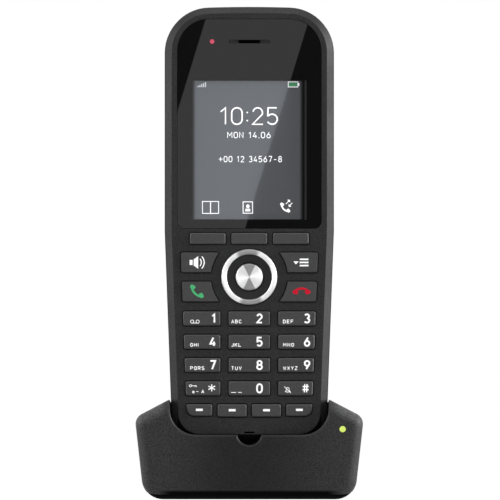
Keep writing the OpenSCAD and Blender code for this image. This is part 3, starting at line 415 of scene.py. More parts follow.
def paintedFlankLight(tree, tint):
    # Painted light on the colour of the cradle: a painted sheen that makes it deeper in the middle than at
    # its sides, a painted highlight along the edge of its shoulders, and painted shade deep in the pocket.
    # The factor is a ramp over the distance aside, times one plus the painted light under the shoulder's
    # line, times one minus the share lost to painted shade in the pocket.
    flank, shoulder, pocket = flankSheenLook, shoulderHighlightLook, pocketShadeLook
    place = onHandsetAxes(tree)
    sides = apart(tree, place)
    aside = figure(tree, "ABSOLUTE", sides["X"])
    side = stepOver(tree, aside, flank["from"], flank["to"], flank["middle"], flank["side"])
    foot = (shoulder["z"] + shoulder["x"] * shoulder["slope"]) * mm
    line = figure(tree, "MULTIPLY_ADD", aside, -shoulder["slope"], foot)
    under = figure(tree, "SUBTRACT", line, sides["Z"])
    lit = stepOver(tree, under, 0.0, shoulder["reach"], shoulder["lit"], 0.0)
    lit = figure(tree, "MULTIPLY", lit, stepOver(tree, sides["Y"], *shoulder["inward"], 1.0, 0.0))
    lit = figure(tree, "MULTIPLY", lit,
                 stepOver(tree, aside, shoulder["x"], shoulder["x"] + shoulder["soft"], 0.0, 1.0))
    lost = insideFrame(tree, place, (0, pocket["z"]), pocket["half"], pocket["soft"])
    lost = figure(tree, "MULTIPLY", lost, stepOver(tree, sides["Y"], *pocket["front"], 0.0, 1.0))
    lost = figure(tree, "MULTIPLY", lost, stepOver(tree, sides["Y"], *pocket["back"], pocket["lost"], 0.0))
    share = figure(tree, "MULTIPLY", figure(tree, "MULTIPLY", side, figure(tree, "ADD", lit, 1.0)),
                   figure(tree, "SUBTRACT", 1.0, lost))
    return vector(tree, "SCALE", tint, share)


plasticLook = {"blue": 1.02, "broad": 14.0, "sheen": 0.05, "bump": 0.6}


def mouldedPlastic(name, level, roughness=0.5, grain=0.22, relief=0.03, speckle=0.25, edge=0.15, gloss=0.4,
                   lip=False, gaps=None, flanks=False):
    # Moulded plastic with a spark texture: fine noise for the relief and the speckle of lighter grains,
    # a broad one for the sheen, and edges rounded by the Bevel node.
    look = plasticLook
    material, tree, shader = newFinish(name)
    place = addNode(tree, "ShaderNodeTexCoord").outputs["Object"]
    fine, tint = cloudyColour(tree, place, shader, (level, level, level * look["blue"]), grain, speckle)
    broad = addNode(tree, "ShaderNodeTexNoise", Scale=1 / (look["broad"] * mm), Detail=3.0, Roughness=0.55)
    join(tree, (broad.inputs["Vector"], place))
    sheen = ramp(tree, broad.outputs[0], *noiseRange, roughness - look["sheen"], roughness + look["sheen"])
    shader.inputs["Specular IOR Level"].default_value = gloss
    bump = addNode(tree, "ShaderNodeBump", Strength=look["bump"], Distance=relief * mm)
    join(tree, (shader.inputs["Roughness"], sheen), (bump.inputs["Height"], fine),
         (bump.inputs["Normal"], roundedEdges(tree, edge)), (shader.inputs["Normal"], bump.outputs[0]))
    # Painted shade on the low lip of the cradle.
    if lip:
        paintedLipShade(tree, place, shader)
    # Painted shade in the gaps round the keys and down their flanks.
    if gaps:
        join(tree, (shader.inputs["Base Color"], paintedGapShade(tree, tint, gaps)))
    # Painted light on the cradle: sheen at its sides, highlight on its shoulders, shade in its pocket.
    if flanks:
        join(tree, (shader.inputs["Base Color"], paintedFlankLight(tree, tint)))
    return material


def plainFinish(name, colour, roughness, size=2.0, amount=0.05, metallic=0.0, glow=0.0, edge=0.0,
                **sockets):
    # One colour with slight clouds, for prints, lamps, sheet metal and small inner pieces.
    material, tree, shader = newFinish(name)
    place = addNode(tree, "ShaderNodeTexCoord").outputs["Object"]
    tint = cloudyColour(tree, place, shader, colour, size, amount)[1]
    shader.inputs["Roughness"].default_value = roughness
    shader.inputs["Metallic"].default_value = metallic
    if glow:
        join(tree, (shader.inputs["Emission Color"], tint))
        shader.inputs["Emission Strength"].default_value = glow
    if edge:
        join(tree, (shader.inputs["Normal"], roundedEdges(tree, edge)))
    for key, value in sockets.items():
        shader.inputs[key.replace("_", " ")].default_value = value
    return material


metalLook = {"rings": (0.93, 1.03), "bump": 0.4, "depth": 0.02, "edge": 0.15}


def turnedMetal(name, centre, level, roughness, stretch, dark, wedge, tilt=0.0, grooves=0.09):
    # Metal turned on a lathe: fine rings round the centre, and a sheen that spreads across them, so the
    # tangent points away from the centre. The rings are noise along the distance from it. The tone falls to
    # a dark wedge above and below the centre, by the cosine of the angle to the wedges' middle line: a
    # painted reflection, the dark bow-tie that turned metal shows between bright side lamps.
    look = metalLook
    material, tree, shader = newFinish(name)
    place = addNode(tree, "ShaderNodeTexCoord").outputs["Object"]
    fromCentre = vector(tree, "SUBTRACT", place, tuple(centre))
    around = vector(tree, "CROSS_PRODUCT", tuple(inwardAxis), fromCentre)
    rings = addNode(tree, "ShaderNodeTexNoise", {"noise_dimensions": "1D"},
                    Scale=1 / (grooves * mm), Detail=2.0)
    join(tree, (shader.inputs["Tangent"], vector(tree, "NORMALIZE", fromCentre)),
         (rings.inputs["W"], vector(tree, "LENGTH", around)))
    tilt = math.radians(tilt)
    wedgeAxis = tuple(acrossAxis * math.cos(tilt) + upAxis * math.sin(tilt))
    # The painted reflection: darker in the wedges above and below the centre.
    upright = vector(tree, "DOT_PRODUCT", vector(tree, "NORMALIZE", around), wedgeAxis)
    shade = ramp(tree, figure(tree, "ABSOLUTE", upright), *wedge, 1.0, dark, smooth=True)
    tone = figure(tree, "MULTIPLY", ramp(tree, rings.outputs[0], *noiseRange, *look["rings"]), shade)
    shader.inputs["Metallic"].default_value = 1.0
    shader.inputs["Roughness"].default_value = roughness
    shader.inputs["Anisotropic"].default_value = stretch
    bump = addNode(tree, "ShaderNodeBump", Strength=look["bump"], Distance=look["depth"] * mm)
    join(tree, (shader.inputs["Base Color"], vector(tree, "SCALE", (level,) * 3, tone)),
         (bump.inputs["Height"], rings.outputs[0]),
         (bump.inputs["Normal"], roundedEdges(tree, look["edge"])),
         (shader.inputs["Normal"], bump.outputs[0]))
    return material


# The window: black behind, clear over the picture area, satin in the scoop of the earpiece.
windowLook = {"black": 0.0028, "blue": 1.08, "clouds": 6.0, "amount": 0.08, "roughness": 0.006,
              "ior": 1.49, "tint": 0.92, "side": 1.72, "low": 1.85, "high": 2.85, "soft": (1.25, 0.4)}
scoopLook = {"size": (11.6, 1.1), "level": 0.002, "roughness": 0.6, "gloss": 0.3, "soft": (0.5, 0.15)}
rimLook = {"level": 0.02, "at": 0.62, "half": 0.38, "soft": (0.3, 0.3)}
lcdLow, lcdHigh = placed("lcd_panel")
left, right = lcdLow[0] + windowLook["side"], lcdHigh[0] - windowLook["side"]
low, top = lcdLow[2] + windowLook["low"], lcdHigh[2] - windowLook["high"]
pictureX, pictureZ = (left + right) / 2, (low + top) / 2


def windowFinish(name):
    # Polished black, and in the picture area a clear pane: see-through, with the same Fresnel gloss. The
    # gloss is on the pane's outer side only: the Fresnel share times one minus the back of a face.
    look = windowLook
    material, tree, shader = newFinish(name)
    place = onHandsetAxes(tree)
    black = (look["black"], look["black"], look["black"] * look["blue"])
    tint = cloudyColour(tree, place, shader, black, look["clouds"], look["amount"])[1]
    shader.inputs["Roughness"].default_value = look["roughness"]
    shader.inputs["IOR"].default_value = look["ior"]
    fresnel = addNode(tree, "ShaderNodeFresnel", IOR=look["ior"])
    facing = addNode(tree, "ShaderNodeNewGeometry")
    clear = addNode(tree, "ShaderNodeBsdfTransparent", Color=(look["tint"],) * 3 + (1,))
    gloss = addNode(tree, "ShaderNodeBsdfGlossy", Roughness=look["roughness"], Color=(1, 1, 1, 1))
    satin = addNode(tree, "ShaderNodeBsdfPrincipled", Roughness=scoopLook["roughness"],
                    Base_Color=(scoopLook["level"],) * 3 + (1,))
    satin.inputs["Specular IOR Level"].default_value = scoopLook["gloss"]
    outside = figure(tree, "MULTIPLY", figure(tree, "SUBTRACT", 1.0, facing.outputs["Backfacing"]),
                     fresnel.outputs[0])
    half = (right - pictureX, top - pictureZ)
    slot = sum(placed("earpiece_grille")) / 2
    # The picture fades to black over a soft border, wider across than up: a painted shadow of the panel's
    # frame on the picture's edges.
    shown = insideFrame(tree, place, (pictureX, pictureZ), half, look["soft"])
    scooped = insideFrame(tree, place, (slot[0], slot[2]), np.divide(scoopLook["size"], 2).tolist(),
                          scoopLook["soft"])
    # A faint paler rim beside the picture: a narrow rectangle, added to the black.
    band = insideFrame(tree, place, (right + rimLook["at"], pictureZ), (rimLook["half"], half[1]),
                       rimLook["soft"])
    rim = vector(tree, "SCALE", (rimLook["level"],) * 3, band)
    join(tree, (shader.inputs["Base Color"], vector(tree, "ADD", tint, rim)))
    pane = mixed(tree, outside, clear.outputs[0], gloss.outputs[0])
    whole = mixed(tree, shown, mixed(tree, scooped, shader.outputs[0], satin.outputs[0]), pane)
    join(tree, (tree.nodes["Material Output"].inputs["Surface"], whole))
    return material


ringCentre = sum(leanBox("nav_ring")) / 2 @ leanAxes
plastics = {
    "frontPlastic": dict(level=0.0165, gloss=0.22, grain=0.32, speckle=0.7, relief=0.05, edge=0.07,
                         gaps=(0.03, 0.25)),
    "rearPlastic": dict(level=0.022, gloss=0.25, grain=0.32, speckle=0.5, edge=0.1),
    "cradlePlastic": dict(level=0.016, gloss=0.22, grain=0.34, speckle=0.7, relief=0.05, edge=0.3,
                          lip=True, flanks=True),
    # The bottom plate is nearly black: painted shade, the same as on the cradle's low lip.
    "platePlastic": dict(level=0.001, roughness=0.8, gloss=0.03, speckle=0.4, lip=True),
    "keyPlastic": dict(level=0.041, gloss=0.35, grain=0.3, speckle=0.3, relief=0.02, edge=0.12,
                       gaps=(-0.32, -0.02)),
    "rockerPlastic": dict(level=0.014, roughness=0.45, gloss=0.2, grain=0.2, relief=0.01,
                          gaps=(0.05, 0.45)),
}
metals = {
    "ringMetal": dict(level=0.98, roughness=0.55, stretch=0.78, dark=0.36, wedge=(0.87, 0.955), tilt=4.0),
    "knobMetal": dict(level=1.0, roughness=0.55, stretch=0.88, dark=0.34, wedge=(0.855, 0.925),
                      grooves=0.07),
}
plains = {
    # The white print glows faintly: painted light that makes it brighter than the lamps alone would.
    "whitePrint": dict(colour=(0.97, 0.97, 0.97), roughness=0.5, size=0.4, amount=0.02, glow=0.1),
    "greenPrint": dict(colour=(0.068, 0.44, 0.168), roughness=0.5, size=0.4, Specular_IOR_Level=0.2),
    "redPrint": dict(colour=(0.56, 0.005, 0.022), roughness=0.5, size=0.4, Specular_IOR_Level=0.15),
    "redLamp": dict(colour=(0.57, 0.075, 0.126), roughness=0.25, glow=0.12, size=0.6),
    "greenLamp": dict(colour=(0.54, 0.68, 0.135), roughness=0.25, glow=0.33, size=0.8),
    "displayGlass": dict(colour=(0.0597, 0.0622, 0.0663), roughness=0.03, size=30, amount=0.02, glow=0.95,
                         Specular_IOR_Level=1.32, Specular_Tint=(0.765, 0.864, 1.0, 1.0)),
    "litWhite": dict(colour=(0.9, 0.9, 0.92), roughness=0.4, size=0.5, amount=0.02, glow=1.0),
    "litPale": dict(colour=(0.52, 0.54, 0.57), roughness=0.4, size=0.5, amount=0.02, glow=0.9),
    "litGreen": dict(colour=(0.06, 0.26, 0.12), roughness=0.4, size=0.5, amount=0.02, glow=0.6),
    "steel": dict(colour=(0.5, 0.5, 0.5), roughness=0.35, metallic=1.0, edge=0.05),
    "tinPlate": dict(colour=(0.62, 0.62, 0.6), roughness=0.3, metallic=1.0),
    "goldFlash": dict(colour=(0.85, 0.6, 0.26), roughness=0.25, metallic=1.0, edge=0.05),
    "board": dict(colour=(0.012, 0.09, 0.03), roughness=0.4, size=1.2, amount=0.25),
    "silicone": dict(colour=(0.3, 0.3, 0.31), roughness=0.6),
    "rubber": dict(colour=(0.015, 0.015, 0.015), roughness=0.8, size=0.4, amount=0.3, edge=0.15),
    "blackMesh": dict(colour=(0.001, 0.001, 0.001), roughness=0.8, size=0.2, amount=0.4,
                      Specular_IOR_Level=0.02),
    "paperCone": dict(colour=(0.03, 0.03, 0.032), roughness=0.7, size=0.5, amount=0.3),
    "whiteMoulding": dict(colour=(0.7, 0.7, 0.68), roughness=0.5),
    "sleeve": dict(colour=(0.03, 0.2, 0.09), roughness=0.3),
}
finishes = {name: mouldedPlastic(name, **look) for name, look in plastics.items()}
finishes |= {name: turnedMetal(name, ringCentre, **look) for name, look in metals.items()}
finishes |= {name: plainFinish(name, **look) for name, look in plains.items()}
finishes["windowGlass"] = windowFinish("windowGlass")

# Which nodes have which finish. All other nodes are keys.
finishedNodes = {
    "frontPlastic": ["handset_front_shell"], "rearPlastic": ["handset_rear_shell", "battery_door"],
    "windowGlass": ["display_window"], "displayGlass": ["lcd_panel"], "whiteMoulding": ["lcd_frame"],
    "blackMesh": ["earpiece_grille", "earpiece_receiver", "microphone", "pin_block"],
    "redLamp": ["status_led_lens"], "greenLamp": ["charge_led_lens"],
    "silicone": ["keypad_mat", "nav_carrier"],
    "board": ["main_pcb", "cradle_pcb"], "tinPlate": ["rf_shield", "power_socket"],
    "paperCone": ["loudspeaker"], "sleeve": ["battery_cell_1", "battery_cell_2"],
    "steel": ["battery_contacts", "handset_screws", "cradle_screws", "charge_spring_left",
              "charge_spring_right"],
    "goldFlash": ["handset_charge_contacts", "charge_pin_left", "charge_pin_right"],
    "rockerPlastic": ["nav_rocker"], "ringMetal": ["nav_ring"], "knobMetal": ["nav_ok"],
    "cradlePlastic": ["cradle_shell"], "platePlastic": ["cradle_bottom_plate"], "rubber": ["cradle_feet"],
}
nodeFinish = {node: finish for finish, group in finishedNodes.items() for node in group}
for name, node in nodes.items():
    node.data.materials.clear()
    node.data.materials.append(finishes[nodeFinish.get(name, "keyPlastic")])
print("finishes on", len(nodes), "nodes")

# Springs under the charging pins.

springLook = {"wire": 0.22, "turns": 6, "steps": 144, "sides": 12}


def pinSpring(side):
    # A wire's round section carried along a helix: at angles a and b the point is (R + r cos b) outward
    # from the spring's axis along a, and the rise of a plus r sin b along it.
    node, joint = "charge_spring_" + side, "charge_pin_" + side + "_press"
    wire, turns, steps, sides = (springLook[key] for key in ("wire", "turns", "steps", "sides"))
    low, high = placed(node)
    middle, radius = (low + high)[:2] / 2, (high - low)[0] / 2 - wire
    t = np.arange(steps + 1)[:, None] / steps
    a, b = 2 * math.pi * turns * t, 2 * math.pi * np.arange(sides)[None, :] / sides
    out = radius + wire * np.cos(b)
    rise = low[2] + wire + (high[2] - low[2] - 2 * wire) * t + wire * np.sin(b)
    verts = np.stack([middle[0] + out * np.cos(a), middle[1] + out * np.sin(a), rise], -1).reshape(-1, 3)
    i, k = np.arange(steps)[:, None] * sides, np.arange(sides)[None, :]
    after = (k + 1) % sides
    faces = np.stack([i + k, i + after, i + sides + after, i + sides + k], -1).reshape(-1, 4).tolist()
    faces += [list(range(sides)), list(range(steps * sides + sides - 1, steps * sides - 1, -1))]
    piece = makePiece("pin_spring_" + side, onHandset(verts), faces, [finishes["steel"]], "cradle", (node,),
                      smooth=True)
    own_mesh(piece)


pinSpring("left")
pinSpring("right")
print("springs wound")

# Legends: one thin print on each key, riding on it.

printLook = {"digit": 2.85, "digitWeight": 0.5, "digitAspect": 0.66, "letter": 1.08, "letterWeight": 0.19,
             "letterAspect": 0.76, "letterGap": 0.24, "raise": 0.05, "sink": 0.01}


def keyFace(name):
    # Middle of a key across and up, and the height of its top above the face.
    low, high = placed(name)
    return (low + high)[0] / 2, (low + high)[2] / 2, low[1]


def printOn(name, parts, finish="whitePrint"):
    # Moves strokes drawn on the face plane onto the top of a key.
    verts, faces = joined(parts)
    verts = verts + [0, keyFace(name)[2] + printLook["sink"], 0]
    piece = makePiece("legend_" + name, onHandset(verts), faces, [finishes[finish]], name)


# Where a column's letters start and its figures end.
columns = {"left": (-16.85, -9.45), "middle": (-5.15, 3.85), "right": (9.6, 17.4)}


def digitRow(digit, small, base, column):
    # A figure at the right of the key and its letters at the lower left, on one baseline.
    look = printLook
    start, end = columns[column]
    parts = lettering(digit, end, base, look["digit"], look["digitWeight"], look["digitAspect"], 0,
                      align="right")
    if small:
        parts += lettering(small, start, base, look["letter"], look["letterWeight"], look["letterAspect"],
                           look["letterGap"], lift=sheet)
    return parts


# The small drawings beside the figures: places across, and up from the baseline.

tapeLook = {"x": -15.5, "apart": 0.78, "up": 0.52, "radius": 0.46, "foot": 0.1, "weight": 0.17}


def tapeSign(base):
    # Two reels and the tape under them, for messages.
    look = tapeLook
    r, up, foot = look["radius"], base + look["up"], base + look["foot"]
    middles = [look["x"] + side * look["apart"] for side in (-1, 1)]
    reels = [stroke(bend(x, up, r, r, 0, 360, steps=16), look["weight"]) for x in middles]
    return reels + [stroke([(x, foot) for x in middles], look["weight"], lift=2 * sheet)]


spaceLook = {"spans": ((-5.2, -3.75), (-3.2, -2.15)), "up": 0.25, "weight": 0.18}


def spaceSign(base):
    # Two spaces, one long and one short.
    up = base + spaceLook["up"]
    return [stroke([(x0, up), (x1, up)], spaceLook["weight"]) for x0, x1 in spaceLook["spans"]]


lockLook = {"bow": (-16.75, 0.36, 0.3), "bowWeight": 0.16, "up": 2.15,
            "blade": (-16.4, -14.95), "bladeWeight": 0.17,
            "teeth": (-15.45, -15.05), "toothEnd": 1.8, "toothWeight": 0.15,
            "dash": (-15.1, -14.5), "dashUp": 0.5, "dashWeight": 0.16,
            "letters": (("a", -16.25, 0, 1.25, 0.2, 0.5), ("A", -13.7, 0, 1.05, 0.2, 0.85),
                        ("*", -11.85, 0.42, 2.3, 0.28, 1.0))}


def lockSign(base):
    # A key above for the key lock, small and large letters below, and the star.
    look = lockLook
    (x, rx, rz), up, dashUp = look["bow"], base + look["up"], base + look["dashUp"]
    parts = [stroke(bend(x, up, rx, rz, 0, 360, steps=14), look["bowWeight"]),
             stroke([(x1, up) for x1 in look["blade"]], look["bladeWeight"], lift=sheet)]
    parts += [stroke([(x1, up), (x1, base + look["toothEnd"])], look["toothWeight"], lift=2 * sheet)
              for x1 in look["teeth"]]
    small, large, star = (lettering(letter, x1, base + raised, height, weight, aspect)
                          for letter, x1, raised, height, weight, aspect in look["letters"])
    dash = stroke([(x1, dashUp) for x1 in look["dash"]], look["dashWeight"])
    return parts + small + [dash] + large + star


bellLook = {"x": 10.95, "half": (0.45, 0.75), "feet": (0.45, 0.75), "dome": (1.2, 0.4, 0.5),
            "weight": 0.16, "clapper": (10.8, 11.1, 0.2),
            "slash": ((9.95, 1.95), (11.85, 0.1)), "slashWeight": 0.17,
            "hash": (14.95, 0.12, 2.7, 0.36, 0.8)}


def bellSign(base):
    # A bell with a stroke through it, for silence, and the hash. The bell's side goes from its foot up to
    # its dome, which is half an ellipse.
    look = bellLook
    x, (inner, outer), (low, high) = look["x"], look["half"], look["feet"]
    up, rx, rz = look["dome"]
    outline = ([(x - outer, base + low), (x - inner, base + high)] + bend(x, base + up, rx, rz, 180, 0)
               + [(x + inner, base + high), (x + outer, base + low), (x - outer, base + low)])
    x0, x1, clapper = look["clapper"]
    parts = [stroke(outline, look["weight"]),
             stroke([(x0, base + clapper), (x1, base + clapper)], look["weight"], lift=sheet),
             stroke([(x2, base + z) for x2, z in look["slash"]], look["slashWeight"], lift=2 * sheet)]
    x3, raised, height, weight, aspect = look["hash"]
    return parts + lettering("#", x3, base + raised, height, weight, aspect)


digitKeys = {
    "key_1": ("1", "", "left"), "key_2": ("2", "ABC", "middle"), "key_3": ("3", "DEF", "right"),
    "key_4": ("4", "GHI", "left"), "key_5": ("5", "JKL", "middle"), "key_6": ("6", "MNO", "right"),
    "key_7": ("7", "PQRS", "left"), "key_8": ("8", "TUV", "middle"), "key_9": ("9", "WXYZ", "right"),
    "key_0": ("0", "", "middle"), "key_star": ("", "", "left"), "key_hash": ("", "", "right"),
}
signs = {"key_1": tapeSign, "key_0": spaceSign, "key_star": lockSign, "key_hash": bellSign}
for name, (digit, small, column) in digitKeys.items():
    base = keyFace(name)[1] - printLook["digit"] / 2 + printLook["raise"]
    parts = digitRow(digit, small, base, column)
    if name in signs:
        parts += signs[name](base)
    printOn(name, parts)

dashLook = {"half": 0.98, "raise": 0.12, "weight": 0.64}
for name in ("fkey_1", "fkey_2", "fkey_3", "fkey_4"):
    x, z = keyFace(name)[:2]
    ends = [(x + side * dashLook["half"], z + dashLook["raise"]) for side in (-1, 1)]
    printOn(name, [stroke(ends, dashLook["weight"])])

# Loudspeaker with two sound waves, from places across and heights from the key's middle.
speakerLook = {"magnet": (-17.0, -16.15, 0.72), "cone": (-15.85, -14.55, 0.85, 1.8),
               "waves": ((1.62, 40), (2.45, 44)), "wavesFrom": -15.3, "weight": 0.3}
z = keyFace("key_speaker")[1]
x0, x1, half = speakerLook["magnet"]
x2, x3, near, far = speakerLook["cone"]
parts = [patch(oblong(x0, x1, z - half, z + half)),
         patch([(x2, z - near), (x3, z - far), (x3, z + far), (x2, z + near)])]
parts += [stroke(bend(speakerLook["wavesFrom"], z, r, r, -s, s, steps=12), speakerLook["weight"])
          for r, s in speakerLook["waves"]]
printOn("key_speaker", parts)

# List with a small arrow.
menuLook = {"arrow": (12.55, 13.3, 14.05), "arrowTop": 0.3, "arrowTip": -0.55, "lines": (14.35, 16.85),
            "pitch": 0.88, "weight": 0.44}
z = keyFace("key_menu")[1]
x0, x1, x2 = menuLook["arrow"]
arrow = [(x0, z + menuLook["arrowTop"]), (x1, z + menuLook["arrowTip"]), (x2, z + menuLook["arrowTop"])]
parts = [patch(arrow)]
parts += [stroke([(x, z + row * menuLook["pitch"]) for x in menuLook["lines"]], menuLook["weight"])
          for row in (1, 0, -1)]
printOn("key_menu", parts)

# All shares are of the receiver's span.
receiverLook = {"grip": 0.42, "gripEnds": (168, 12), "weight": 0.13, "pad": (0.165, 0.125), "power": 0.6,
                "padStep": 15, "tipped": 14, "padAt": (0.385, 0.03)}


def receiver(x, z, span, rise, turn):
    # A telephone receiver: a grip bent along half an ellipse, with a rounded pad across each end, turned in
    # its plane. A pad is a superellipse: cosine and sine of the angle, each to one power, tipped outward.
    look = receiverLook
    c, s = math.cos(math.radians(turn)), math.sin(math.radians(turn))
    spin = np.array([[c, s], [-s, c]])
    middle = [0, rise / 2]
    grip = np.array(bend(0, 0, span * look["grip"], rise, *look["gripEnds"], steps=20))
    a = np.radians(np.arange(0, 360, look["padStep"]))
    pad = np.stack([np.sign(f) * np.abs(f) ** look["power"] for f in (np.cos(a), np.sin(a))], 1)
    pad = pad * np.multiply(look["pad"], span)
    parts = [stroke((grip - middle) @ spin + [x, z], span * look["weight"])]
    for k, side in enumerate((1, -1)):
        t = math.radians(-look["tipped"] * side)
        tip = np.array([[math.cos(t), math.sin(t)], [-math.sin(t), math.cos(t)]])
        end = pad @ tip + [-side * span * look["padAt"][0], look["padAt"][1] * span]
        parts.append(patch((end - middle) @ spin + [x, z], lift=sheet * (1 + k)))
    return parts


# Place across, height from the key's middle, span, rise of the grip, turn in degrees.
callKeys = {"key_call": (-15.15, -0.15, 4.5, 1.0, 135, "greenPrint"),
            "key_end": (14.9, 0.3, 4.6, 1.15, 0, "redPrint")}
for name, (x, raised, span, rise, turn, finish) in callKeys.items():
    printOn(name, receiver(x, keyFace(name)[1] + raised, span, rise, turn), finish)
print("legends printed")

# What the display shows: thin lit shapes just in front of the panel, placed from the picture's edges.

screenLook = {"thick": 0.02, "lift": 0.02}


def onScreen(name, parts, finish="litWhite"):
    # Puts lit shapes in front of the panel; they belong to the handset.
    verts, faces = joined(parts)
    verts = verts + [0, lcdLow[1] - screenLook["lift"], 0]
    piece = makePiece("screen_" + name, onHandset(verts), faces, [finishes[finish]], "handset")


def ruled(x0, x1, z0, z1, weight):
    # The outline of an upright rectangle, as one closed stroke.
    edge = oblong(x0, x1, z0, z1)
    return stroke(edge + edge[:1], weight)


signalLook = {"bars": 5, "x": 1.6, "pitch": 0.54, "wide": 0.32, "foot": 1.95, "first": 1.6, "rise": 0.27}
bars = []
for k in range(signalLook["bars"]):
    x = left + signalLook["x"] + signalLook["pitch"] * k
    tip = top - signalLook["first"] + signalLook["rise"] * k
    bar = oblong(x, x + signalLook["wide"], top - signalLook["foot"], tip)
    bars.append(patch(bar, screenLook["thick"]))
onScreen("signal", bars, "litPale")

batteryLook = {"x": (4.3, 1.55), "down": (1.9, 0.45), "weight": 0.17, "wall": 0.2,
               "pole": (0.1, 0.4), "poleIn": 0.35}
x0, x1 = (right - x for x in batteryLook["x"])
z0, z1 = (top - down for down in batteryLook["down"])
wall, poleIn = batteryLook["wall"], batteryLook["poleIn"]
pole = oblong(x1 + batteryLook["pole"][0], x1 + batteryLook["pole"][1], z0 + poleIn, z1 - poleIn)
onScreen("battery_edge", [ruled(x0, x1, z0, z1, batteryLook["weight"]), patch(pole)])
onScreen("battery_fill", [patch(oblong(x0 + wall, x1 - wall, z0 + wall, z1 - wall))], "litGreen")

# Words, place across from the picture's middle, baseline below its top, height, weight, aspect and gap.
screenLines = {
    "clock": ("10:25", 0.4, 12.75, 5.1, 0.385, 0.66, 0.16),
    "date": ("MON 14.06", 0.4, 16.55, 1.85, 0.215, 0.66, 0.2),
    "line": ("+00 12 34567-8", 0.8, 23.4, 1.8, 0.2, 0.6, 0.18),
}
for name, (words, aside, down, height, weight, aspect, gap) in screenLines.items():
    onScreen(name, lettering(words, pictureX + aside, top - down, height, weight, aspect, gap,
                             align="middle", thick=screenLook["thick"]))

bookLook = {"x": (3.05, 7.65), "up": (1.9, 5.3), "weight": 0.22,
            "spineX": 5.35, "spine": (1.7, 5.2), "spineWeight": 0.26}
x0, x1 = (left + x for x in bookLook["x"])
z0, z1 = (low + up for up in bookLook["up"])
spine = [(left + bookLook["spineX"], low + up) for up in bookLook["spine"]]
onScreen("book", [ruled(x0, x1, z0, z1, bookLook["weight"]),
                  stroke(spine, bookLook["spineWeight"], lift=sheet)])

cardLook = {"x": 16.0, "half": 1.35, "up": (1.95, 5.2), "weight": 0.22, "head": (3.95, 0.48, 0.52),
            "chest": ((0.75, 2.5), (0.6, 3.25))}
x, half = left + cardLook["x"], cardLook["half"]
z0, z1 = (low + up for up in cardLook["up"])
headUp, rx, rz = cardLook["head"]
(wide, foot), (slim, neck) = cardLook["chest"]
chest = [(x - wide, low + foot), (x + wide, low + foot), (x + slim, low + neck), (x - slim, low + neck)]
onScreen("card", [ruled(x - half, x + half, z0, z1, cardLook["weight"]),
                  patch(bend(x, low + headUp, rx, rz, 0, 345, steps=14)), patch(chest)])

# Each arrow: its tip, its tail and the way its head points.
callsLook = {"x": 4.75, "receiver": (-0.6, 3.4, 3.3, 0.75, 135), "weight": 0.22, "head": 0.8, "into": 0.2,
             "arrows": (((0.95, 5.8), (-0.2, 4.6), -1), ((0.55, 3.8), (1.6, 4.9), 1))}
x, (aside, up, span, rise, turn) = right - callsLook["x"], callsLook["receiver"]
parts = receiver(x + aside, low + up, span, rise, turn)
for tip, tail, way in callsLook["arrows"]:
    (tipX, tipZ), (tailX, tailZ) = ((x + point[0], low + point[1]) for point in (tip, tail))
    into, head = callsLook["into"] * way, callsLook["head"] * way
    parts.append(stroke([(tailX, tailZ), (tipX + into, tipZ + into)], callsLook["weight"]))
    parts.append(patch([(tipX, tipZ), (tipX + head, tipZ), (tipX, tipZ + head)], lift=sheet))
onScreen("calls", parts)
print("display filled")

# Camera, floor and light.

viewLook = {"distance": 900, "width": 142.5, "across": 0.2, "up": 54.6, "sensor": 36.0}
faceOn = Matrix(np.stack([acrossAxis, upAxis, -inwardAxis]).T.tolist()).to_4x4()
cameraData = bpy.data.cameras.new("faceOn")
cameraData.sensor_width = viewLook["sensor"]
cameraData.lens = viewLook["sensor"] * viewLook["distance"] / viewLook["width"]
camera = bpy.data.objects.new("faceOn", cameraData)
bpy.context.scene.collection.objects.link(camera)
eye = onHandset([viewLook["across"], -viewLook["distance"], viewLook["up"]])
camera.matrix_world = Matrix.Translation(Vector(eye)) @ faceOn
bpy.context.scene.camera = camera

stageLook = {"reach": 3.0, "floor": 0.5, "shown": 0.965, "white": 1.027}


def shownWhite(name, level):
    # A pale floor that lights the object as it is, and that the camera and mirrors see nearly white.
    material = bpy.data.materials.new(name)
    material.use_nodes = True
    tree = material.node_tree
    tree.nodes.clear()
    path = addNode(tree, "ShaderNodeLightPath").outputs
    pale = addNode(tree, "ShaderNodeBsdfDiffuse", Color=(level, level, level, 1))
    white = addNode(tree, "ShaderNodeEmission", Strength=stageLook["white"])
    mirrored = figure(tree, "MAXIMUM", path["Is Camera Ray"], path["Is Glossy Ray"])
    seen = figure(tree, "MAXIMUM", mirrored, path["Is Transmission Ray"])
    share = figure(tree, "MULTIPLY", seen, stageLook["shown"])
    out = addNode(tree, "ShaderNodeOutputMaterial")
    join(tree, (out.inputs["Surface"], mixed(tree, share, pale.outputs[0], white.outputs[0])))
    return material


reach = stageLook["reach"]
corners = [(x, y, 0) for x, y in oblong(-reach, reach, -reach, reach)]
floorMesh = bpy.data.meshes.new("floor")
floorMesh.from_pydata(corners, [], [(0, 1, 2, 3)])
floorMesh.materials.append(shownWhite("paleFloor", stageLook["floor"]))
floor = bpy.data.objects.new("floor", floorMesh)
bpy.context.scene.collection.objects.link(floor)


def softBox(name, place, turn, size, radiance):
    # A rectangular lamp of the radiance given: its power is radiance times pi times its area.
    data = bpy.data.lights.new(name, "AREA")
    data.shape = "RECTANGLE"
    data.size, data.size_y = size
    data.energy = radiance * math.pi * size[0] * size[1]
    lamp = bpy.data.objects.new(name, data)
    bpy.context.scene.collection.objects.link(lamp)
    lamp.matrix_world = Matrix.Translation(Vector(place)) @ turn


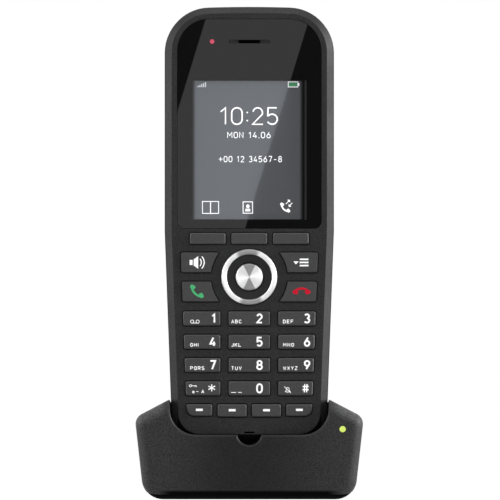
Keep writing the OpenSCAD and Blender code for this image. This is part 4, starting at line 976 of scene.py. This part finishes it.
# Place, target, size and radiance.
boxes = {
    "overhead": ((-0.05, 0.0, 0.7), (0, 0, 0.06), (0.6, 0.45), 1.6),
    "rightSide": ((1.1, -0.12, 0.3), (0, 0, 0.07), (0.7, 1.0), 11.0),
    "leftSide": ((-1.1, -0.12, 0.3), (0, 0, 0.07), (0.7, 1.0), 5.0),
    "front": ((0.0, -0.4, 0.6), (0, 0, 0.09), (0.6, 0.26), 1.9),
}
for name, (place, target, size, radiance) in boxes.items():
    away = Vector(place) - Vector(target)
    softBox(name, place, away.to_track_quat("Z", "Y").to_matrix().to_4x4(), size, radiance)

# A narrow lamp behind the camera, whose reflection makes the slanted stripe across the window. Its place
# is the stripe's middle, carried away from the camera's own place by one plus the ratio of distances.
stripeLook = {"distance": 1100, "radiance": 0.9, "length": 240, "width": 62.6, "slant": 17.0, "level": 95,
              "edges": ((-12.5, 120.4), (16.5, 118.7)), "slope": 0.304}
level, slope = stripeLook["level"], stripeLook["slope"]
stripeX = sum(x + (level - z) * slope for x, z in stripeLook["edges"]) / 2
scale = 1 + stripeLook["distance"] / viewLook["distance"]
lampX = viewLook["across"] + (stripeX - viewLook["across"]) * scale
lampZ = viewLook["up"] + (level - viewLook["up"]) * scale
slanted = faceOn @ Matrix.Rotation(math.radians(-stripeLook["slant"]), 4, "Z")
softBox("windowStripe", onHandset([lampX, -stripeLook["distance"], lampZ]), slanted,
        (stripeLook["width"] * mm, stripeLook["length"] * mm), stripeLook["radiance"])

# World: white to the camera, and in reflections dark in front of the object with pale walls at its sides.

worldLook = {"fill": 0.35, "front": 0.06, "back": 1.0, "from": -0.88, "to": -0.25}
world = bpy.data.worlds.new("studio")
bpy.context.scene.world = world
world.use_nodes = True
tree = world.node_tree
tree.nodes.clear()
path = addNode(tree, "ShaderNodeLightPath").outputs
way = apart(tree, addNode(tree, "ShaderNodeTexCoord").outputs["Generated"])
along = figure(tree, "ADD", way["Y"], figure(tree, "ABSOLUTE", way["X"]))
glow = ramp(tree, along, worldLook["from"], worldLook["to"], worldLook["front"], worldLook["back"],
            smooth=True)
fill = addNode(tree, "ShaderNodeBackground", Color=(1, 1, 1, 1), Strength=worldLook["fill"])
white = addNode(tree, "ShaderNodeBackground", Color=(1, 1, 1, 1), Strength=1.0)
mirrored = addNode(tree, "ShaderNodeBackground", Color=(1, 1, 1, 1))
out = addNode(tree, "ShaderNodeOutputWorld")
around = mixed(tree, path["Is Glossy Ray"], fill.outputs[0], mirrored.outputs[0])
seen = figure(tree, "MAXIMUM", path["Is Camera Ray"], path["Is Transmission Ray"])
join(tree, (mirrored.inputs["Strength"], glow),
     (out.inputs["Surface"], mixed(tree, seen, around, white.outputs[0])))
bpy.context.scene.view_settings.view_transform = "Standard"
print("camera, floor and light set")
